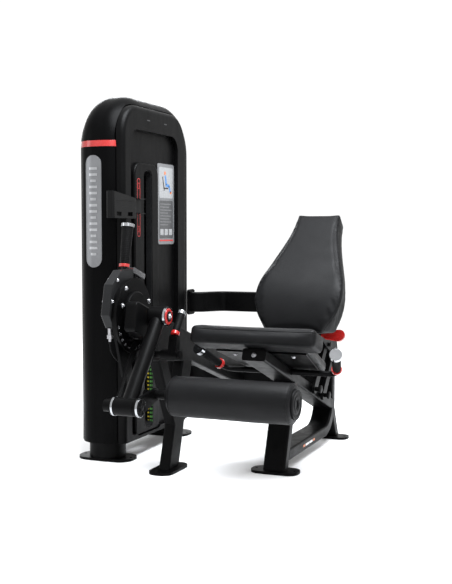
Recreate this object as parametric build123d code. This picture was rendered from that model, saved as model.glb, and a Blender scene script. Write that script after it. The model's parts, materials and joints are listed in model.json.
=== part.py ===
from build123d import *
import math
import os

# Selectorized leg extension machine: a weight tower on the user's left, a seat frame on the right,
# and a swinging knee arm with a roller pad between them.
# Millimetres. X points to the user's left-to-right, away from the tower; Y points backwards; Z points up.
# While it is drawn, X = 0 is the middle of the seat and Y = 0 is the front foot.
# When it is written, everything is shifted so that the origin is the bottom centre of the whole machine.

# ---- driving dimensions: tower ----
TOWER_X = -812.5            # middle plane of the tower
TOWER_WIDTH = 230.0
TOWER_FRONT = -130.0
TOWER_REAR = 665.0
TOWER_TOP = 1680.0
SHELL_BOTTOM = 85.0
TOWER_CORNER = 245.0        # radius of the arch's two top corners
TOWER_EDGE = 95.0           # rounding of the arch's long edges
SHELL_WALL = 5.0
STRIPE_BOTTOM = 1433.0
STRIPE_TOP = 1460.0

COVER_FACE_X = -690.0       # outer face of the side cover
COVER_THICK = 37.0
COVER_FRONT = -100.0
COVER_REAR = 570.0
COVER_TOP = 1632.0
COVER_CORNER = 150.0
COVER_GAP = 4.0             # dark groove round the side cover
RECESS_DEPTH = 24.0
LEFT_MARGIN = 62.0          # how far the left cover stays inside the tower's outline
WINDOW_FRONT = 20.0
WINDOW_REAR = 265.0
WINDOW_TOP = 1373.0
WINDOW_BOTTOM = 98.0
SLOT_FRONT = 110.0
SLOT_REAR = 195.0

PLATE_PITCH = 19.0
PLATE_THICK = 18.4
PLATE_COUNT = 15
LIFTED_COUNT = 2            # plates that the head plate picks up as set
STACK_Y = 150.0
STACK_BOTTOM = 133.0
PLATE_DEPTH = 230.0
PLATE_FACE_X = -745.0
PLATE_WIDTH = 130.0
GUIDE_ROD_RADIUS = 9.5
GUIDE_ROD_SPACING = 150.0
PULLEY_RADIUS = 77.5        # to the middle of the cable
PULLEY_Z = 1470.0
TOP_BAR_Z = 1556.0
ROD_TOP = 1355.0            # the retainer that holds the guide rods' upper ends
POST_WIDTH = 168.0
POST_DEPTH = 140.0
CABLE_RADIUS = 3.0

# ---- driving dimensions: frame ----
WIDE = 102.0                # flat-oval steel tube, long side
NARROW = 51.0               # and short side
TUBE_CORNER = 9.0
TUBE_WALL = 3.0
FOOT_THICK = 12.0
BEAM_SLOPE = 20.0           # degrees that the seat beam falls towards the back
BEAM_FRONT = (-263.0, 545.0)
UPRIGHT_Y = 729.5
UPRIGHT_TOP = 750.0
BASE_Z = 70.0
BASE_BEND = 139.5
CROSS_HEIGHTS = (310.0, 690.0)
KNEE_BEAM_X = -449.0
KNEE_Y = -360.0             # the knee axis runs along X through here
KNEE_Z = 700.0

# ---- driving dimensions: mechanism ----
SHAFT_RADIUS = 20.0
RUNNING = 0.05              # radial clearance of a running fit
DISC_RADIUS = 157.0
ARM_X = -385.0
BEARING_Y = -638.0
BEARING_Z = 366.0
ROLLER_Y = -490.0
ROLLER_Z = 395.0
ROLLER_RADIUS = 81.0
ROLLER_LEFT = -262.0
ROLLER_RIGHT = 253.0
LEVER_X = -557.0            # plane of the range lever
SEAT_LEVER_Y = -316.0
SEAT_LEVER_Z = 536.0
SEAT_LEVER_X = -340.0

# ---- driving dimensions: seat and back ----
PAN_THICK = 6.0
CUSHION_THICK = 55.0
NOSE_WIDTH = 550.0
SEAT_WIDTH = 440.0
LINK_FRONT = (362.0, 317.5)      # lower pivots of the two link arms
LINK_REAR = (500.0, 267.3)
LINK_REACH = (178.0, 190.0)      # from a lower pivot to its upper pivot
PAD_BOTTOM = (250.0, 666.0)      # face of the back pad, bottom edge
PAD_THICK = 95.0
PAD_CURVE = 450.0                # radius of the lumbar curve
PAD_LOW_ANGLE = 15.0             # degrees from upright at the bottom
PAD_HIGH_ANGLE = 44.0            # and above the lumbar curve
PAD_STRAIGHT = 386.0

nodes = {}


# ---- helpers ----
def side_plane(x):
    """Drawing plane at a given X, whose own axes are the machine's Y and Z."""
    return Plane((x, 0, 0), x_dir=(0, 1, 0), z_dir=(1, 0, 0))


def side_plate(outline, x_low, x_high):
    """Plate between two X values with an outline drawn in Y and Z."""
    return extrude(side_plane(x_low) * outline, x_high - x_low)


def block(x_low, x_high, y_low, y_high, z_low, z_high):
    centre = Pos((x_low + x_high) / 2, (y_low + y_high) / 2, (z_low + z_high) / 2)
    return centre * Box(x_high - x_low, y_high - y_low, z_high - z_low)


def round_x(y, z, radius, x_low, x_high, bore=0.0):
    """Round bar or ring along X."""
    outline = Pos(y, z) * Circle(radius)
    if bore:
        outline = outline - Pos(y, z) * Circle(bore)
    return side_plate(outline, x_low, x_high)


def round_bar(start, end, radius, end_radius=None, bore=0.0):
    """Round bar between two points, tapered if end_radius is given."""
    start = Vector(*start)
    run = Vector(*end) - start
    place = Plane(start, z_dir=run).location
    length = run.length
    middle = (Align.CENTER, Align.CENTER, Align.MIN)
    if end_radius is None:
        bar = Cylinder(radius, length, align=middle)
    else:
        bar = Cone(radius, end_radius, length, align=middle)
    if bore:
        bar = bar - Cylinder(bore, length, align=middle)
    return place * bar


def along(start, end, share):
    """Point at a share of the way from start to end."""
    return tuple(a + (b - a) * share for a, b in zip(start, end))


def bar_between(start, end, width, depth, wall=TUBE_WALL, x=0.0):
    """Flat-oval steel tube between two (Y, Z) points; returns the tube and its outside."""
    first = Vector(x, *start)
    run = Vector(x, *end) - first
    plane = Plane(first, x_dir=(1, 0, 0), z_dir=run)
    outside = extrude(plane * RectangleRounded(width, depth, TUBE_CORNER), run.length)
    inner = RectangleRounded(width - 2 * wall, depth - 2 * wall, TUBE_CORNER - wall)
    return outside - extrude(plane * inner, run.length), outside


def swept_tube(points, bend, plane, width, depth, wall=TUBE_WALL):
    """Bent flat-oval tube along a filleted path; returns the tube and its outside."""
    path = FilletPolyline(*points, radius=bend)
    outside = sweep(plane * RectangleRounded(width, depth, TUBE_CORNER), path=path)
    inner = RectangleRounded(width - 2 * wall, depth - 2 * wall, TUBE_CORNER - wall)
    return outside - sweep(plane * inner, path=path), outside


def hull_plate(circles, x_low, x_high):
    """Plate round a set of (y, z, radius) circles, like a tight belt round them."""
    edges = []
    for y, z, radius in circles:
        edges += (Pos(y, z) * Circle(radius)).edges()
    return side_plate(make_hull(edges), x_low, x_high)


def beam_point(distance, height):
    """(Y, Z) at a distance back along the seat beam and a height square to it."""
    angle = math.radians(BEAM_SLOPE)
    y = BEAM_FRONT[0] + distance * math.cos(angle) + height * math.sin(angle)
    z = BEAM_FRONT[1] - distance * math.sin(angle) + height * math.cos(angle)
    return (y, z)


def arch(front, rear, bottom, top, corner, foot_corner=0.0):
    """Arched outline in Y and Z: square or rounded feet, round top corners."""
    outline = Pos((front + rear) / 2, (bottom + top) / 2) * Rectangle(rear - front, top - bottom)
    upper = outline.vertices().sort_by(Axis.Y)[-2:]
    outline = fillet(upper, corner)
    if foot_corner:
        lower = outline.vertices().sort_by(Axis.Y)[:2]
        outline = fillet(lower, foot_corner)
    return outline


# ---- tower ----
def tower_body(grow):
    """The tower's rounded arch as one solid; grow makes it larger or smaller all round."""
    half = TOWER_WIDTH / 2 + grow
    outline = arch(TOWER_FRONT - grow, TOWER_REAR + grow, SHELL_BOTTOM, TOWER_TOP + grow, TOWER_CORNER + grow)
    body = side_plate(outline, TOWER_X - half, TOWER_X + half)
    rim = [e for e in body.edges() if abs(abs(e.center().X - TOWER_X) - half) < 0.1]
    rim = [e for e in rim if e.center().Z > SHELL_BOTTOM + 1]
    return fillet(rim, TOWER_EDGE + grow)


def cover_slab(grow, x_low, x_high):
    outline = arch(COVER_FRONT - grow, COVER_REAR + grow, SHELL_BOTTOM - 1, COVER_TOP + grow, COVER_CORNER + grow)
    return side_plate(outline, x_low, x_high)


def make_tower_shells():
    body = tower_body(0)
    inside = tower_body(-SHELL_WALL)
    proud = tower_body(2.0)
    right_pocket = cover_slab(COVER_GAP, COVER_FACE_X - COVER_THICK - 6, COVER_FACE_X + 20)
    left_face = TOWER_X - TOWER_WIDTH / 2
    left_pocket = side_plate(left_outline(COVER_GAP), left_face - 20, left_face + 30)
    shell = body - inside - right_pocket - left_pocket
    x_low = TOWER_X - TOWER_WIDTH
    x_high = TOWER_X + TOWER_WIDTH
    front_half = block(x_low, x_high, TOWER_FRONT - 50, 60, 0, STRIPE_BOTTOM)
    rear_half = block(x_low, x_high, 480, TOWER_REAR + 50, 0, STRIPE_TOP)
    top_half = block(x_low, x_high, TOWER_FRONT - 50, TOWER_REAR + 50, STRIPE_TOP, TOWER_TOP + 50)
    band = block(x_low, x_high, TOWER_FRONT - 50, 60, STRIPE_BOTTOM, STRIPE_TOP)
    nodes["front_column_shell"] = shell & front_half
    nodes["rear_column_shell"] = shell & rear_half
    nodes["top_arch_shell"] = shell & top_half
    nodes["red_stripe"] = (proud - inside - right_pocket - left_pocket) & band
    nodes["nameplate"] = make_nameplate(body, proud)


def make_nameplate(body, proud):
    """Blank silver pill that follows the tower's rounded nose."""
    centre = (TOWER_X - 25, TOWER_FRONT - 40, 1142)
    facing = Plane(centre, x_dir=(1, -0.25, 0), z_dir=(0.25, 1, 0))
    pill = extrude(facing * Rot(0, 0, 90) * SlotOverall(505, 82), 90)
    return (proud - body) & pill


def make_side_cover():
    """Moulded cover on the seat side: raised arch rim, recessed panel and window hole."""
    low = COVER_FACE_X - COVER_THICK
    cover = cover_slab(0, low, COVER_FACE_X)
    cover = cover - block(low - 1, COVER_FACE_X + 1, COVER_FRONT - 50, COVER_REAR + 50, 0, SHELL_BOTTOM)
    outer_rim = [e for e in cover.edges() if e.center().X > COVER_FACE_X - 0.1 and e.center().Z > SHELL_BOTTOM + 1]
    cover = fillet(outer_rim, 24)
    recess = arch(-30, 470, SHELL_BOTTOM + 25, 1520, 70, 20)
    cover = cover - side_plate(recess, COVER_FACE_X - RECESS_DEPTH, COVER_FACE_X + 1)
    hollow = arch(COVER_FRONT + 8, COVER_REAR - 8, SHELL_BOTTOM + 8, COVER_TOP - 8, COVER_CORNER - 8, 10)
    cover = cover - side_plate(hollow, low - 1, COVER_FACE_X - RECESS_DEPTH - 5)
    cover = cover - side_plate(window_outline(0), low - 1, COVER_FACE_X + 1)
    nodes["side_cover"] = cover
    nodes["left_cover"] = make_left_cover()


def make_left_cover():
    """Plain closing panel on the side away from the seat."""
    face = TOWER_X - TOWER_WIDTH / 2 - 2
    cover = side_plate(left_outline(0), face, face + 14)
    rim = [e for e in cover.edges() if e.center().X < face + 0.1 and e.center().Z > SHELL_BOTTOM + 1]
    return fillet(rim, 6)


def left_outline(grow):
    margin = LEFT_MARGIN - grow
    return arch(TOWER_FRONT + margin, TOWER_REAR - margin, SHELL_BOTTOM, TOWER_TOP - margin, TOWER_CORNER - margin)


def window_outline(grow):
    return arch(WINDOW_FRONT - grow, WINDOW_REAR + grow, WINDOW_BOTTOM - grow, WINDOW_TOP + grow, 62 + grow, 24)


def slot_outline(grow):
    return arch(SLOT_FRONT - grow, SLOT_REAR + grow, WINDOW_BOTTOM + 22 - grow, WINDOW_TOP - 30 + grow, 36 + grow, 26 + grow)


def make_window():
    frame = side_plate(window_outline(0), COVER_FACE_X - COVER_THICK, COVER_FACE_X - 6)
    front_rim = [e for e in frame.edges() if e.center().X > COVER_FACE_X - 6.1]
    frame = fillet(front_rim, 9)
    nodes["window_frame"] = frame - side_plate(slot_outline(0), COVER_FACE_X - COVER_THICK - 1, COVER_FACE_X)
    liner = slot_outline(0) - slot_outline(-5)
    nodes["window_liner"] = side_plate(liner, COVER_FACE_X - COVER_THICK, COVER_FACE_X - 9)
    card = Pos(375, 1187) * RectangleRounded(180, 394, 16)
    panel_x = COVER_FACE_X - RECESS_DEPTH
    nodes["placard"] = side_plate(card, panel_x, panel_x + 4)


def make_tower_frame():
    """Two upright posts, the bars between them and the pulley's ears."""
    above_arch = block(-950, -650, -150, 700, 1380, 1700) - tower_body(-SHELL_WALL - 1)
    posts = []
    post_ends = []
    for y in (TOWER_FRONT + 90, TOWER_REAR - 90):
        outline = Pos(TOWER_X, y) * RectangleRounded(POST_WIDTH, POST_DEPTH, 66)
        inner = Pos(TOWER_X, y) * RectangleRounded(POST_WIDTH - 8, POST_DEPTH - 8, 62)
        post = Pos(0, 0, FOOT_THICK) * extrude(outline - inner, TOP_BAR_Z + 20 - FOOT_THICK)
        posts.append(post - above_arch)
        post_ends.append(y)
    front, rear = post_ends[0] + POST_DEPTH / 2, post_ends[1] - POST_DEPTH / 2
    base_bar = block(TOWER_X - 30, TOWER_X + 30, front, rear, 90, STACK_BOTTOM - 15)
    top_bar = block(TOWER_X - 30, TOWER_X + 30, front, rear, TOP_BAR_Z, TOP_BAR_Z + 20)
    retainer = block(TOWER_X - 30, TOWER_X + 30, front, rear, ROD_TOP, ROD_TOP + 20)
    for y in (STACK_Y, STACK_Y + 2 * PULLEY_RADIUS):
        retainer -= round_bar((TOWER_X, y, ROD_TOP - 5), (TOWER_X, y, ROD_TOP + 30), 9)
    ears = Part()
    pulley_y = STACK_Y + PULLEY_RADIUS
    for x in (TOWER_X - 22, TOWER_X + 16):
        ears += block(x, x + 6, pulley_y - 25, pulley_y + 25, PULLEY_Z - 25, TOP_BAR_Z)
    axle = round_x(pulley_y, PULLEY_Z, 8, TOWER_X - 26, TOWER_X + 26)
    top_unit = top_bar + ears + axle
    nodes["tower_frame"] = Compound(children=[*[p.solid() for p in posts], base_bar.solid(), retainer.solid(),
                                              top_unit.solid()])
    pulley = round_x(pulley_y, PULLEY_Z, PULLEY_RADIUS + 6, TOWER_X - 13, TOWER_X + 13, 8 + RUNNING)
    groove = Pos(TOWER_X, pulley_y, PULLEY_Z) * Rot(0, 90, 0) * Torus(PULLEY_RADIUS + 3, 6.5)
    nodes["top_pulley"] = pulley - groove
    make_cables(pulley_y)


def make_cables(pulley_y):
    head_top = STACK_BOTTOM + PLATE_COUNT * PLATE_PITCH + 42
    lift = round_bar((TOWER_X, STACK_Y, head_top), (TOWER_X, STACK_Y, PULLEY_Z), CABLE_RADIUS)
    nodes["lift_cable"] = lift
    start = (TOWER_X, STACK_Y, PULLEY_Z)
    top = (TOWER_X, pulley_y, PULLEY_Z + PULLEY_RADIUS)
    end = (TOWER_X, pulley_y + PULLEY_RADIUS, PULLEY_Z)
    bottom = (TOWER_X, pulley_y + PULLEY_RADIUS, STACK_BOTTOM - 15)
    path = Wire([ThreePointArc(start, top, end).edge(), Line(end, bottom).edge()])
    section = Plane(start, z_dir=(0, 0, 1)) * Circle(CABLE_RADIUS)
    nodes["cable_run"] = sweep(section, path=path)


def plate_solid(index):
    """One weight plate with its two guide rod holes and a middle hole."""
    plate = Pos(PLATE_FACE_X - PLATE_WIDTH / 2, STACK_Y) * RectangleRounded(PLATE_WIDTH, PLATE_DEPTH, 8)
    for shift in (-GUIDE_ROD_SPACING / 2, GUIDE_ROD_SPACING / 2):
        plate = plate - Pos(TOWER_X, STACK_Y + shift) * Circle(GUIDE_ROD_RADIUS + 1.5)
    height = STACK_BOTTOM + index * PLATE_PITCH
    return Pos(0, 0, height) * extrude(plate, PLATE_THICK)


def tab_solid(index):
    """Selector tab on the front face of one plate."""
    z = STACK_BOTTOM + index * PLATE_PITCH + PLATE_THICK / 2
    tab = block(PLATE_FACE_X, PLATE_FACE_X + 9, STACK_Y - 22, STACK_Y - 6, z - 5, z + 5)
    return chamfer(tab.faces().sort_by(Axis.X)[-1].edges(), 2)


def make_stack():
    kept = PLATE_COUNT - LIFTED_COUNT
    nodes["resting_plates"] = Compound(children=[plate_solid(i).solid() for i in range(kept)])
    nodes["resting_tabs"] = Compound(children=[tab_solid(i).solid() for i in range(kept)])
    nodes["lifted_plates"] = Compound(children=[plate_solid(i).solid() for i in range(kept, PLATE_COUNT)])
    for number, index in enumerate(range(kept, PLATE_COUNT), start=1):
        nodes[f"selector_tab_{number}"] = tab_solid(index)
    head_bottom = STACK_BOTTOM + PLATE_COUNT * PLATE_PITCH
    head = block(TOWER_X - 45, TOWER_X + 45, STACK_Y - 105, STACK_Y + 105, head_bottom, head_bottom + 22)
    stem = round_bar((TOWER_X, STACK_Y, head_bottom + 22), (TOWER_X, STACK_Y, head_bottom + 42), 14)
    head = head + stem
    for shift in (-GUIDE_ROD_SPACING / 2, GUIDE_ROD_SPACING / 2):
        y = STACK_Y + shift
        head += round_bar((TOWER_X, y, head_bottom + 22), (TOWER_X, y, head_bottom + 40), 18)
        head -= round_bar((TOWER_X, y, head_bottom), (TOWER_X, y, head_bottom + 40), GUIDE_ROD_RADIUS + 0.08)
    nodes["head_plate"] = head
    rods = []
    bumpers = []
    for shift in (-GUIDE_ROD_SPACING / 2, GUIDE_ROD_SPACING / 2):
        y = STACK_Y + shift
        base = STACK_BOTTOM - 15
        rods.append(round_bar((TOWER_X, y, base), (TOWER_X, y, ROD_TOP), GUIDE_ROD_RADIUS).solid())
        ring = round_bar((TOWER_X, y, base), (TOWER_X, y, STACK_BOTTOM), 22, bore=GUIDE_ROD_RADIUS)
        bumpers.append(ring.solid())
    nodes["guide_rods"] = Compound(children=rods)
    nodes["rubber_bumpers"] = Compound(children=bumpers)


def make_accessory_holder():
    """Shallow open-topped tray on the tower's front corner, with the clip that holds it."""
    x_low, x_high, y_low, y_high = COVER_FACE_X, COVER_FACE_X + 38, -262.0, -45.0
    outline = Polyline((y_low, 1110), (y_high, 1110), (y_high, 1200), (y_low, 1228), (y_low, 1110))
    tray = side_plate(make_face(outline), x_low, x_high)
    tray = fillet(tray.edges().filter_by(Axis.Z), 12)
    hollow = block(x_low + 4, x_high - 4, y_low + 4, y_high - 4, 1114, 1240)
    tray = tray - fillet(hollow.edges().filter_by(Axis.Z), 8)
    tray = tray - block(x_high - 2, x_high + 5, y_low + 17, y_high - 5, 1161, 1188)
    for y_front, y_rear in ((y_low + 32, y_low + 72), (y_high - 85, y_high - 40)):
        tray = tray - block(x_high - 10, x_high + 10, y_front, y_rear, 1120, 1138)
    tray += block(x_low, x_low + 6, y_high - 2, 58, 1133, 1203)
    for z_low in (1133, 1199):
        tray += block(x_low, x_low + 28, 5, 58, z_low, z_low + 4)
    nodes["accessory_holder"] = tray


# ---- frame ----
def foot_plate(x, y, length_x, length_y, hole_spacing):
    """Rounded bolt-down plate with a hole near each end of its long side."""
    outline = Pos(x, y) * RectangleRounded(length_x, length_y, min(length_x, length_y) * 0.42)
    for shift in (-hole_spacing / 2, hole_spacing / 2):
        across = (shift, 0) if length_x > length_y else (0, shift)
        outline = outline - Pos(x + across[0], y + across[1]) * Circle(6.5)
    return extrude(outline, FOOT_THICK)


def make_foot_plates():
    plates = [
        foot_plate(TOWER_X, TOWER_FRONT + 90, 272, 150, 240),
        foot_plate(TOWER_X, TOWER_REAR - 90, 272, 150, 240),
        foot_plate(0, 0, 216, 112, 176),
        foot_plate(0, 800, 216, 100, 176),
        foot_plate(KNEE_BEAM_X, -146, 112, 230, 190),
    ]
    nodes["foot_plates"] = Compound(children=[p.solid() for p in plates])


def make_base():
    """Base tube along the floor that bends up into the rear upright, with its rear foot stub."""
    points = ((0, -20, BASE_Z), (0, UPRIGHT_Y, BASE_Z), (0, UPRIGHT_Y, UPRIGHT_TOP))
    plane = Plane(points[0], x_dir=(1, 0, 0), z_dir=(0, 1, 0))
    tube, outside = swept_tube(points, BASE_BEND, plane, WIDE, NARROW)
    half = NARROW / 2 - TUBE_WALL
    lid = block(-WIDE / 2 + 9, WIDE / 2 - 9, UPRIGHT_Y - half, UPRIGHT_Y + half, UPRIGHT_TOP - 5, UPRIGHT_TOP)
    stub, stub_outside = bar_between((800, FOOT_THICK), (715, 190), WIDE, NARROW)
    stub = (stub - outside - block(-60, 60, 600, 900, -50, FOOT_THICK)).solids().sort_by(Axis.Z)[0]
    return tube + lid, outside, stub


def make_seat_frame():
    base, base_outside, stub = make_base()
    beam, beam_outside = bar_between(BEAM_FRONT, (UPRIGHT_Y - 6, BEAM_FRONT[1] - math.tan(math.radians(BEAM_SLOPE))
                                     * (UPRIGHT_Y - 6 - BEAM_FRONT[0])), WIDE, NARROW)
    beam = (beam - base_outside).solids().sort_by(Axis.Y)[0]
    leg, leg_outside = bar_between((-8, -10), (140, 400), WIDE, NARROW)
    leg = leg - beam_outside - block(-60, 60, -100, 100, -60, FOOT_THICK)
    leg = leg.solids().sort_by(SortBy.VOLUME)[-1]
    base = (base - leg_outside).solids().sort_by(SortBy.VOLUME)[-1]
    front_cap = extrude(Plane((0, *BEAM_FRONT), x_dir=(1, 0, 0), z_dir=(0, *slope_forward()))
                        * RectangleRounded(WIDE, NARROW, TUBE_CORNER), 5)
    grips = grip_path_tube(14.5)
    beam = beam - grips
    for y, z in (LINK_FRONT, LINK_REAR):
        beam = beam - round_x(y, z, 10, -WIDE, WIDE)
    pins = [link_pin(*LINK_FRONT).solid(), link_pin(*LINK_REAR).solid()]
    nodes["seat_frame"] = Compound(children=[beam.solid(), leg, front_cap.solid(), *pins])
    nodes["base_frame"] = Compound(children=[base, stub])
    return base_outside


def slope_forward():
    """Unit direction down the length of the seat beam, pointing to its front end."""
    angle = math.radians(BEAM_SLOPE)
    return (-math.cos(angle), math.sin(angle))


def link_pin(y, z):
    """Pivot pin through the seat beam with a round head on each end."""
    pin = round_x(y, z, 10, -88, 88)
    for x in (-94, 88):
        pin += round_x(y, z, 17, x, x + 6)
    return pin


def grip_path_tube(radius):
    """Bent tube under the seat that carries the two hand grips."""
    points = ((-304, -117, 537), (-258, 62, 436), (258, 62, 436), (304, -117, 537))
    path = FilletPolyline(*points, radius=45)
    start = Vector(*points[0])
    plane = Plane(start, z_dir=Vector(*points[1]) - start)
    return sweep(plane * Circle(radius), path=path)


def make_hand_grips():
    nodes["grip_tube"] = grip_path_tube(12.5)
    sleeves = []
    ends = []
    for side in (-1, 1):
        top = (side * 304, -117, 537)
        low = (side * 258, 62, 436)
        sleeves.append(round_bar(along(top, low, 0.0), along(top, low, 0.70), 20, 17, 12.5).solid())
        ends.append(round_bar(along(top, low, 0.70), along(top, low, 0.76), 23, bore=12.5).solid())
        ends.append(round_bar(along(top, low, -0.10), along(top, low, 0.0), 26.5).solid())
    nodes["hand_grips"] = Compound(children=sleeves)
    nodes["hand_grip_ends"] = Compound(children=ends)


def make_knee_frame():
    """Tapered knee beam beside the seat, its sloping leg and the forward brace."""
    cross, cross_outside = make_cross_tubes()
    rear = UPRIGHT_Y - NARROW / 2
    corners = [(-485, 774), (9, 603), (rear, 364), (rear, 250), (63, 460), (-345, 508), (-368, 600), (-506, 648)]
    outline = make_face(Polyline(*corners, corners[0]))
    nose = outline.vertices().sort_by(Axis.X)[:2]
    outline = fillet(nose, 22)
    low, high = KNEE_BEAM_X - NARROW / 2, KNEE_BEAM_X + NARROW / 2
    solid = side_plate(outline, low, high)
    rim = [e for e in solid.edges() if abs(abs(e.center().X - KNEE_BEAM_X) - NARROW / 2) < 0.1
           and e.center().Y < rear - 5]
    solid = fillet(rim, 6)
    hollow = side_plate(offset(outline, -5), low + 4, high - 4)
    beam = solid - hollow - round_x(KNEE_Y, KNEE_Z, 26, low - 1, high + 1)
    beam += round_x(SEAT_LEVER_Y, SEAT_LEVER_Z, 14, high - 2, SEAT_LEVER_X + 24)
    beam += round_x(SEAT_LEVER_Y, SEAT_LEVER_Z, 20, SEAT_LEVER_X + 24, SEAT_LEVER_X + 32)
    nodes["knee_beam"] = beam
    bushes = []
    for x_low, x_high, flange_low in ((low, low + 4, low - 1.2), (high - 4, high, high)):
        bush = round_x(KNEE_Y, KNEE_Z, 26, x_low, x_high, SHAFT_RADIUS + RUNNING)
        bush += round_x(KNEE_Y, KNEE_Z, 29, flange_low, flange_low + 1.2, SHAFT_RADIUS + RUNNING)
        bushes.append(bush.solid())
    nodes["knee_bearings"] = Compound(children=bushes)
    leg, leg_outside = bar_between((-150, -14), (10, 490), NARROW, WIDE, x=KNEE_BEAM_X)
    floor = block(-600, -300, -400, 400, -100, FOOT_THICK)
    leg = (leg - solid - floor).solids().sort_by(SortBy.VOLUME)[-1]
    brace, brace_outside = bar_between((-70, 150), (-282, 575), NARROW, 72, x=KNEE_BEAM_X)
    brace = (brace - solid - leg_outside).solids().sort_by(SortBy.VOLUME)[-1]
    nodes["left_leg"] = Compound(children=[leg, brace])
    return cross, cross_outside


def make_cross_tubes():
    """Two tubes that tie the tower's rear post to the rear upright, with their flanges."""
    solids = []
    outside_all = Part()
    start_x = COVER_FACE_X
    start_y = 612.0
    for height in CROSS_HEIGHTS:
        points = ((start_x + 8, start_y, height), (-640, start_y, height), (-560, UPRIGHT_Y, height),
                  (-WIDE / 2, UPRIGHT_Y, height))
        plane = Plane(points[0], x_dir=(0, 1, 0), z_dir=(1, 0, 0))
        tube, outside = swept_tube(points, 60, plane, NARROW, WIDE)
        solids.append(tube.solid())
        outside_all += outside
        flange = Pos(start_y, height) * RectangleRounded(76, 130, 14)
        solids.append(side_plate(flange, start_x, start_x + 8).solid())
    nodes["cross_tubes"] = Compound(children=solids)
    return solids, outside_all


# ---- knee arm ----
def make_knee_arm():
    shaft = round_x(KNEE_Y, KNEE_Z, SHAFT_RADIUS, -596, -352)
    nodes["knee_shaft"] = shaft
    nodes["rom_disc"] = round_x(KNEE_Y, KNEE_Z, DISC_RADIUS, -512, -501, SHAFT_RADIUS)
    wheel = round_x(KNEE_Y, KNEE_Z, 100, -501, -486, SHAFT_RADIUS)
    nodes["cam_wheel"] = chamfer(wheel.edges().sort_by(Axis.X)[-2:].filter_by(lambda e: e.radius > 90), 3)
    hub = round_x(KNEE_Y, KNEE_Z, 39, -421, -352)
    tube = round_bar((ARM_X, KNEE_Y, KNEE_Z), (ARM_X, BEARING_Y, BEARING_Z), 30)
    housing = round_x(BEARING_Y, BEARING_Z, 36, -436, -349)
    arm = hub + tube + housing
    arm = arm - round_x(KNEE_Y, KNEE_Z, SHAFT_RADIUS, -430, -340)
    arm = arm - round_x(BEARING_Y, BEARING_Z, SHAFT_RADIUS, -470, -320)
    nodes["leg_arm"] = arm
    hub_ring = round_x(KNEE_Y, KNEE_Z, 41, -352, -343, 33)
    bearing_ring = round_x(BEARING_Y, BEARING_Z, 38, -444, -436, 29)
    nodes["chrome_rings"] = Compound(children=[hub_ring.solid(), bearing_ring.solid()])
    cap = round_x(KNEE_Y, KNEE_Z, 33, -352, -339)
    nodes["hub_cap"] = chamfer(cap.edges().sort_by(Axis.X)[-1], 2)
    upper, lower = (-400, 580), (-548, 372)
    strut = hull_plate([(*upper, 13), (*lower, 11)], -485, -478)
    strut += hull_plate([(*lower, 11), (BEARING_Y, BEARING_Z, 24)], -485, -478)
    strut += round_x(*upper, 12, -501, -485)
    strut += round_x(BEARING_Y, BEARING_Z, 24, -478, -451)
    strut += round_x(BEARING_Y, BEARING_Z, 36, -451, -444)
    nodes["arm_strut"] = strut


def make_roller():
    pin = round_x(BEARING_Y, BEARING_Z, SHAFT_RADIUS - RUNNING, -435, -326)
    pin += round_x(BEARING_Y, BEARING_Z, 28, -443, -436.2)
    pin += round_x(BEARING_Y, BEARING_Z, SHAFT_RADIUS - RUNNING, -436.2, -435)
    arm = hull_plate([(BEARING_Y, BEARING_Z, 36), (ROLLER_Y, ROLLER_Z, 27)], -347, -335)
    shaft = round_x(ROLLER_Y, ROLLER_Z, 18, -388, ROLLER_RIGHT + 3)
    nodes["roller_link"] = pin + arm + shaft
    nodes["link_ring"] = round_x(BEARING_Y, BEARING_Z, 38, -335, -326, SHAFT_RADIUS - RUNNING)
    spool = round_x(ROLLER_Y, ROLLER_Z, 25, ROLLER_LEFT, ROLLER_RIGHT)
    for x in (ROLLER_LEFT - 6, ROLLER_RIGHT):
        flange = round_x(ROLLER_Y, ROLLER_Z, 58, x, x + 6)
        spool += flange
    spool -= round_x(ROLLER_Y, ROLLER_Z, 18 + RUNNING, ROLLER_LEFT - 10, ROLLER_RIGHT + 10)
    nodes["roller_spool"] = spool
    pad = round_x(ROLLER_Y, ROLLER_Z, ROLLER_RADIUS, ROLLER_LEFT, ROLLER_RIGHT, 25)
    rims = [e for e in pad.edges().filter_by(GeomType.CIRCLE) if e.radius > 70]
    nodes["roller_pad"] = fillet(rims, 20)


# ---- range lever ----
def make_range_lever():
    bore = round_x(KNEE_Y, KNEE_Z, SHAFT_RADIUS + RUNNING, -620, -500)
    tip = (-410, 470)
    nodes["cam_plate"] = hull_plate([(KNEE_Y, KNEE_Z, 148), (*tip, 26)], -528, -516) - bore
    outer = [(-318, 893), (-420, 891), (-497, 835), (-526, 711), (-488, 655)]
    outline = Polyline(*outer, (-455, 668)) + ThreePointArc((-455, 668), (-440, 770), (-318, 830))
    outline += Line((-318, 830), outer[0])
    housing = side_plate(make_face(outline), -570, -528)
    rim = [e for e in housing.edges() if e.center().X < -569.9]
    base = (LEVER_X, -345, 893)
    end = (LEVER_X, -307, 1083)
    stem = round_bar(along(base, end, -0.08), along(base, end, 0.045), 11)
    nodes["crescent_housing"] = fillet(rim, 8) + stem
    nodes["range_lever_grip"] = round_bar(along(base, end, 0.11), along(base, end, 0.93), 19, 25)
    ring = round_bar(along(base, end, 0.045), along(base, end, 0.11), 22)
    cap = round_bar(along(base, end, 0.93), end, 28)
    nodes["range_lever_ends"] = Compound(children=[ring.solid(), cap.solid()])
    make_control_cable(tip)


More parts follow.
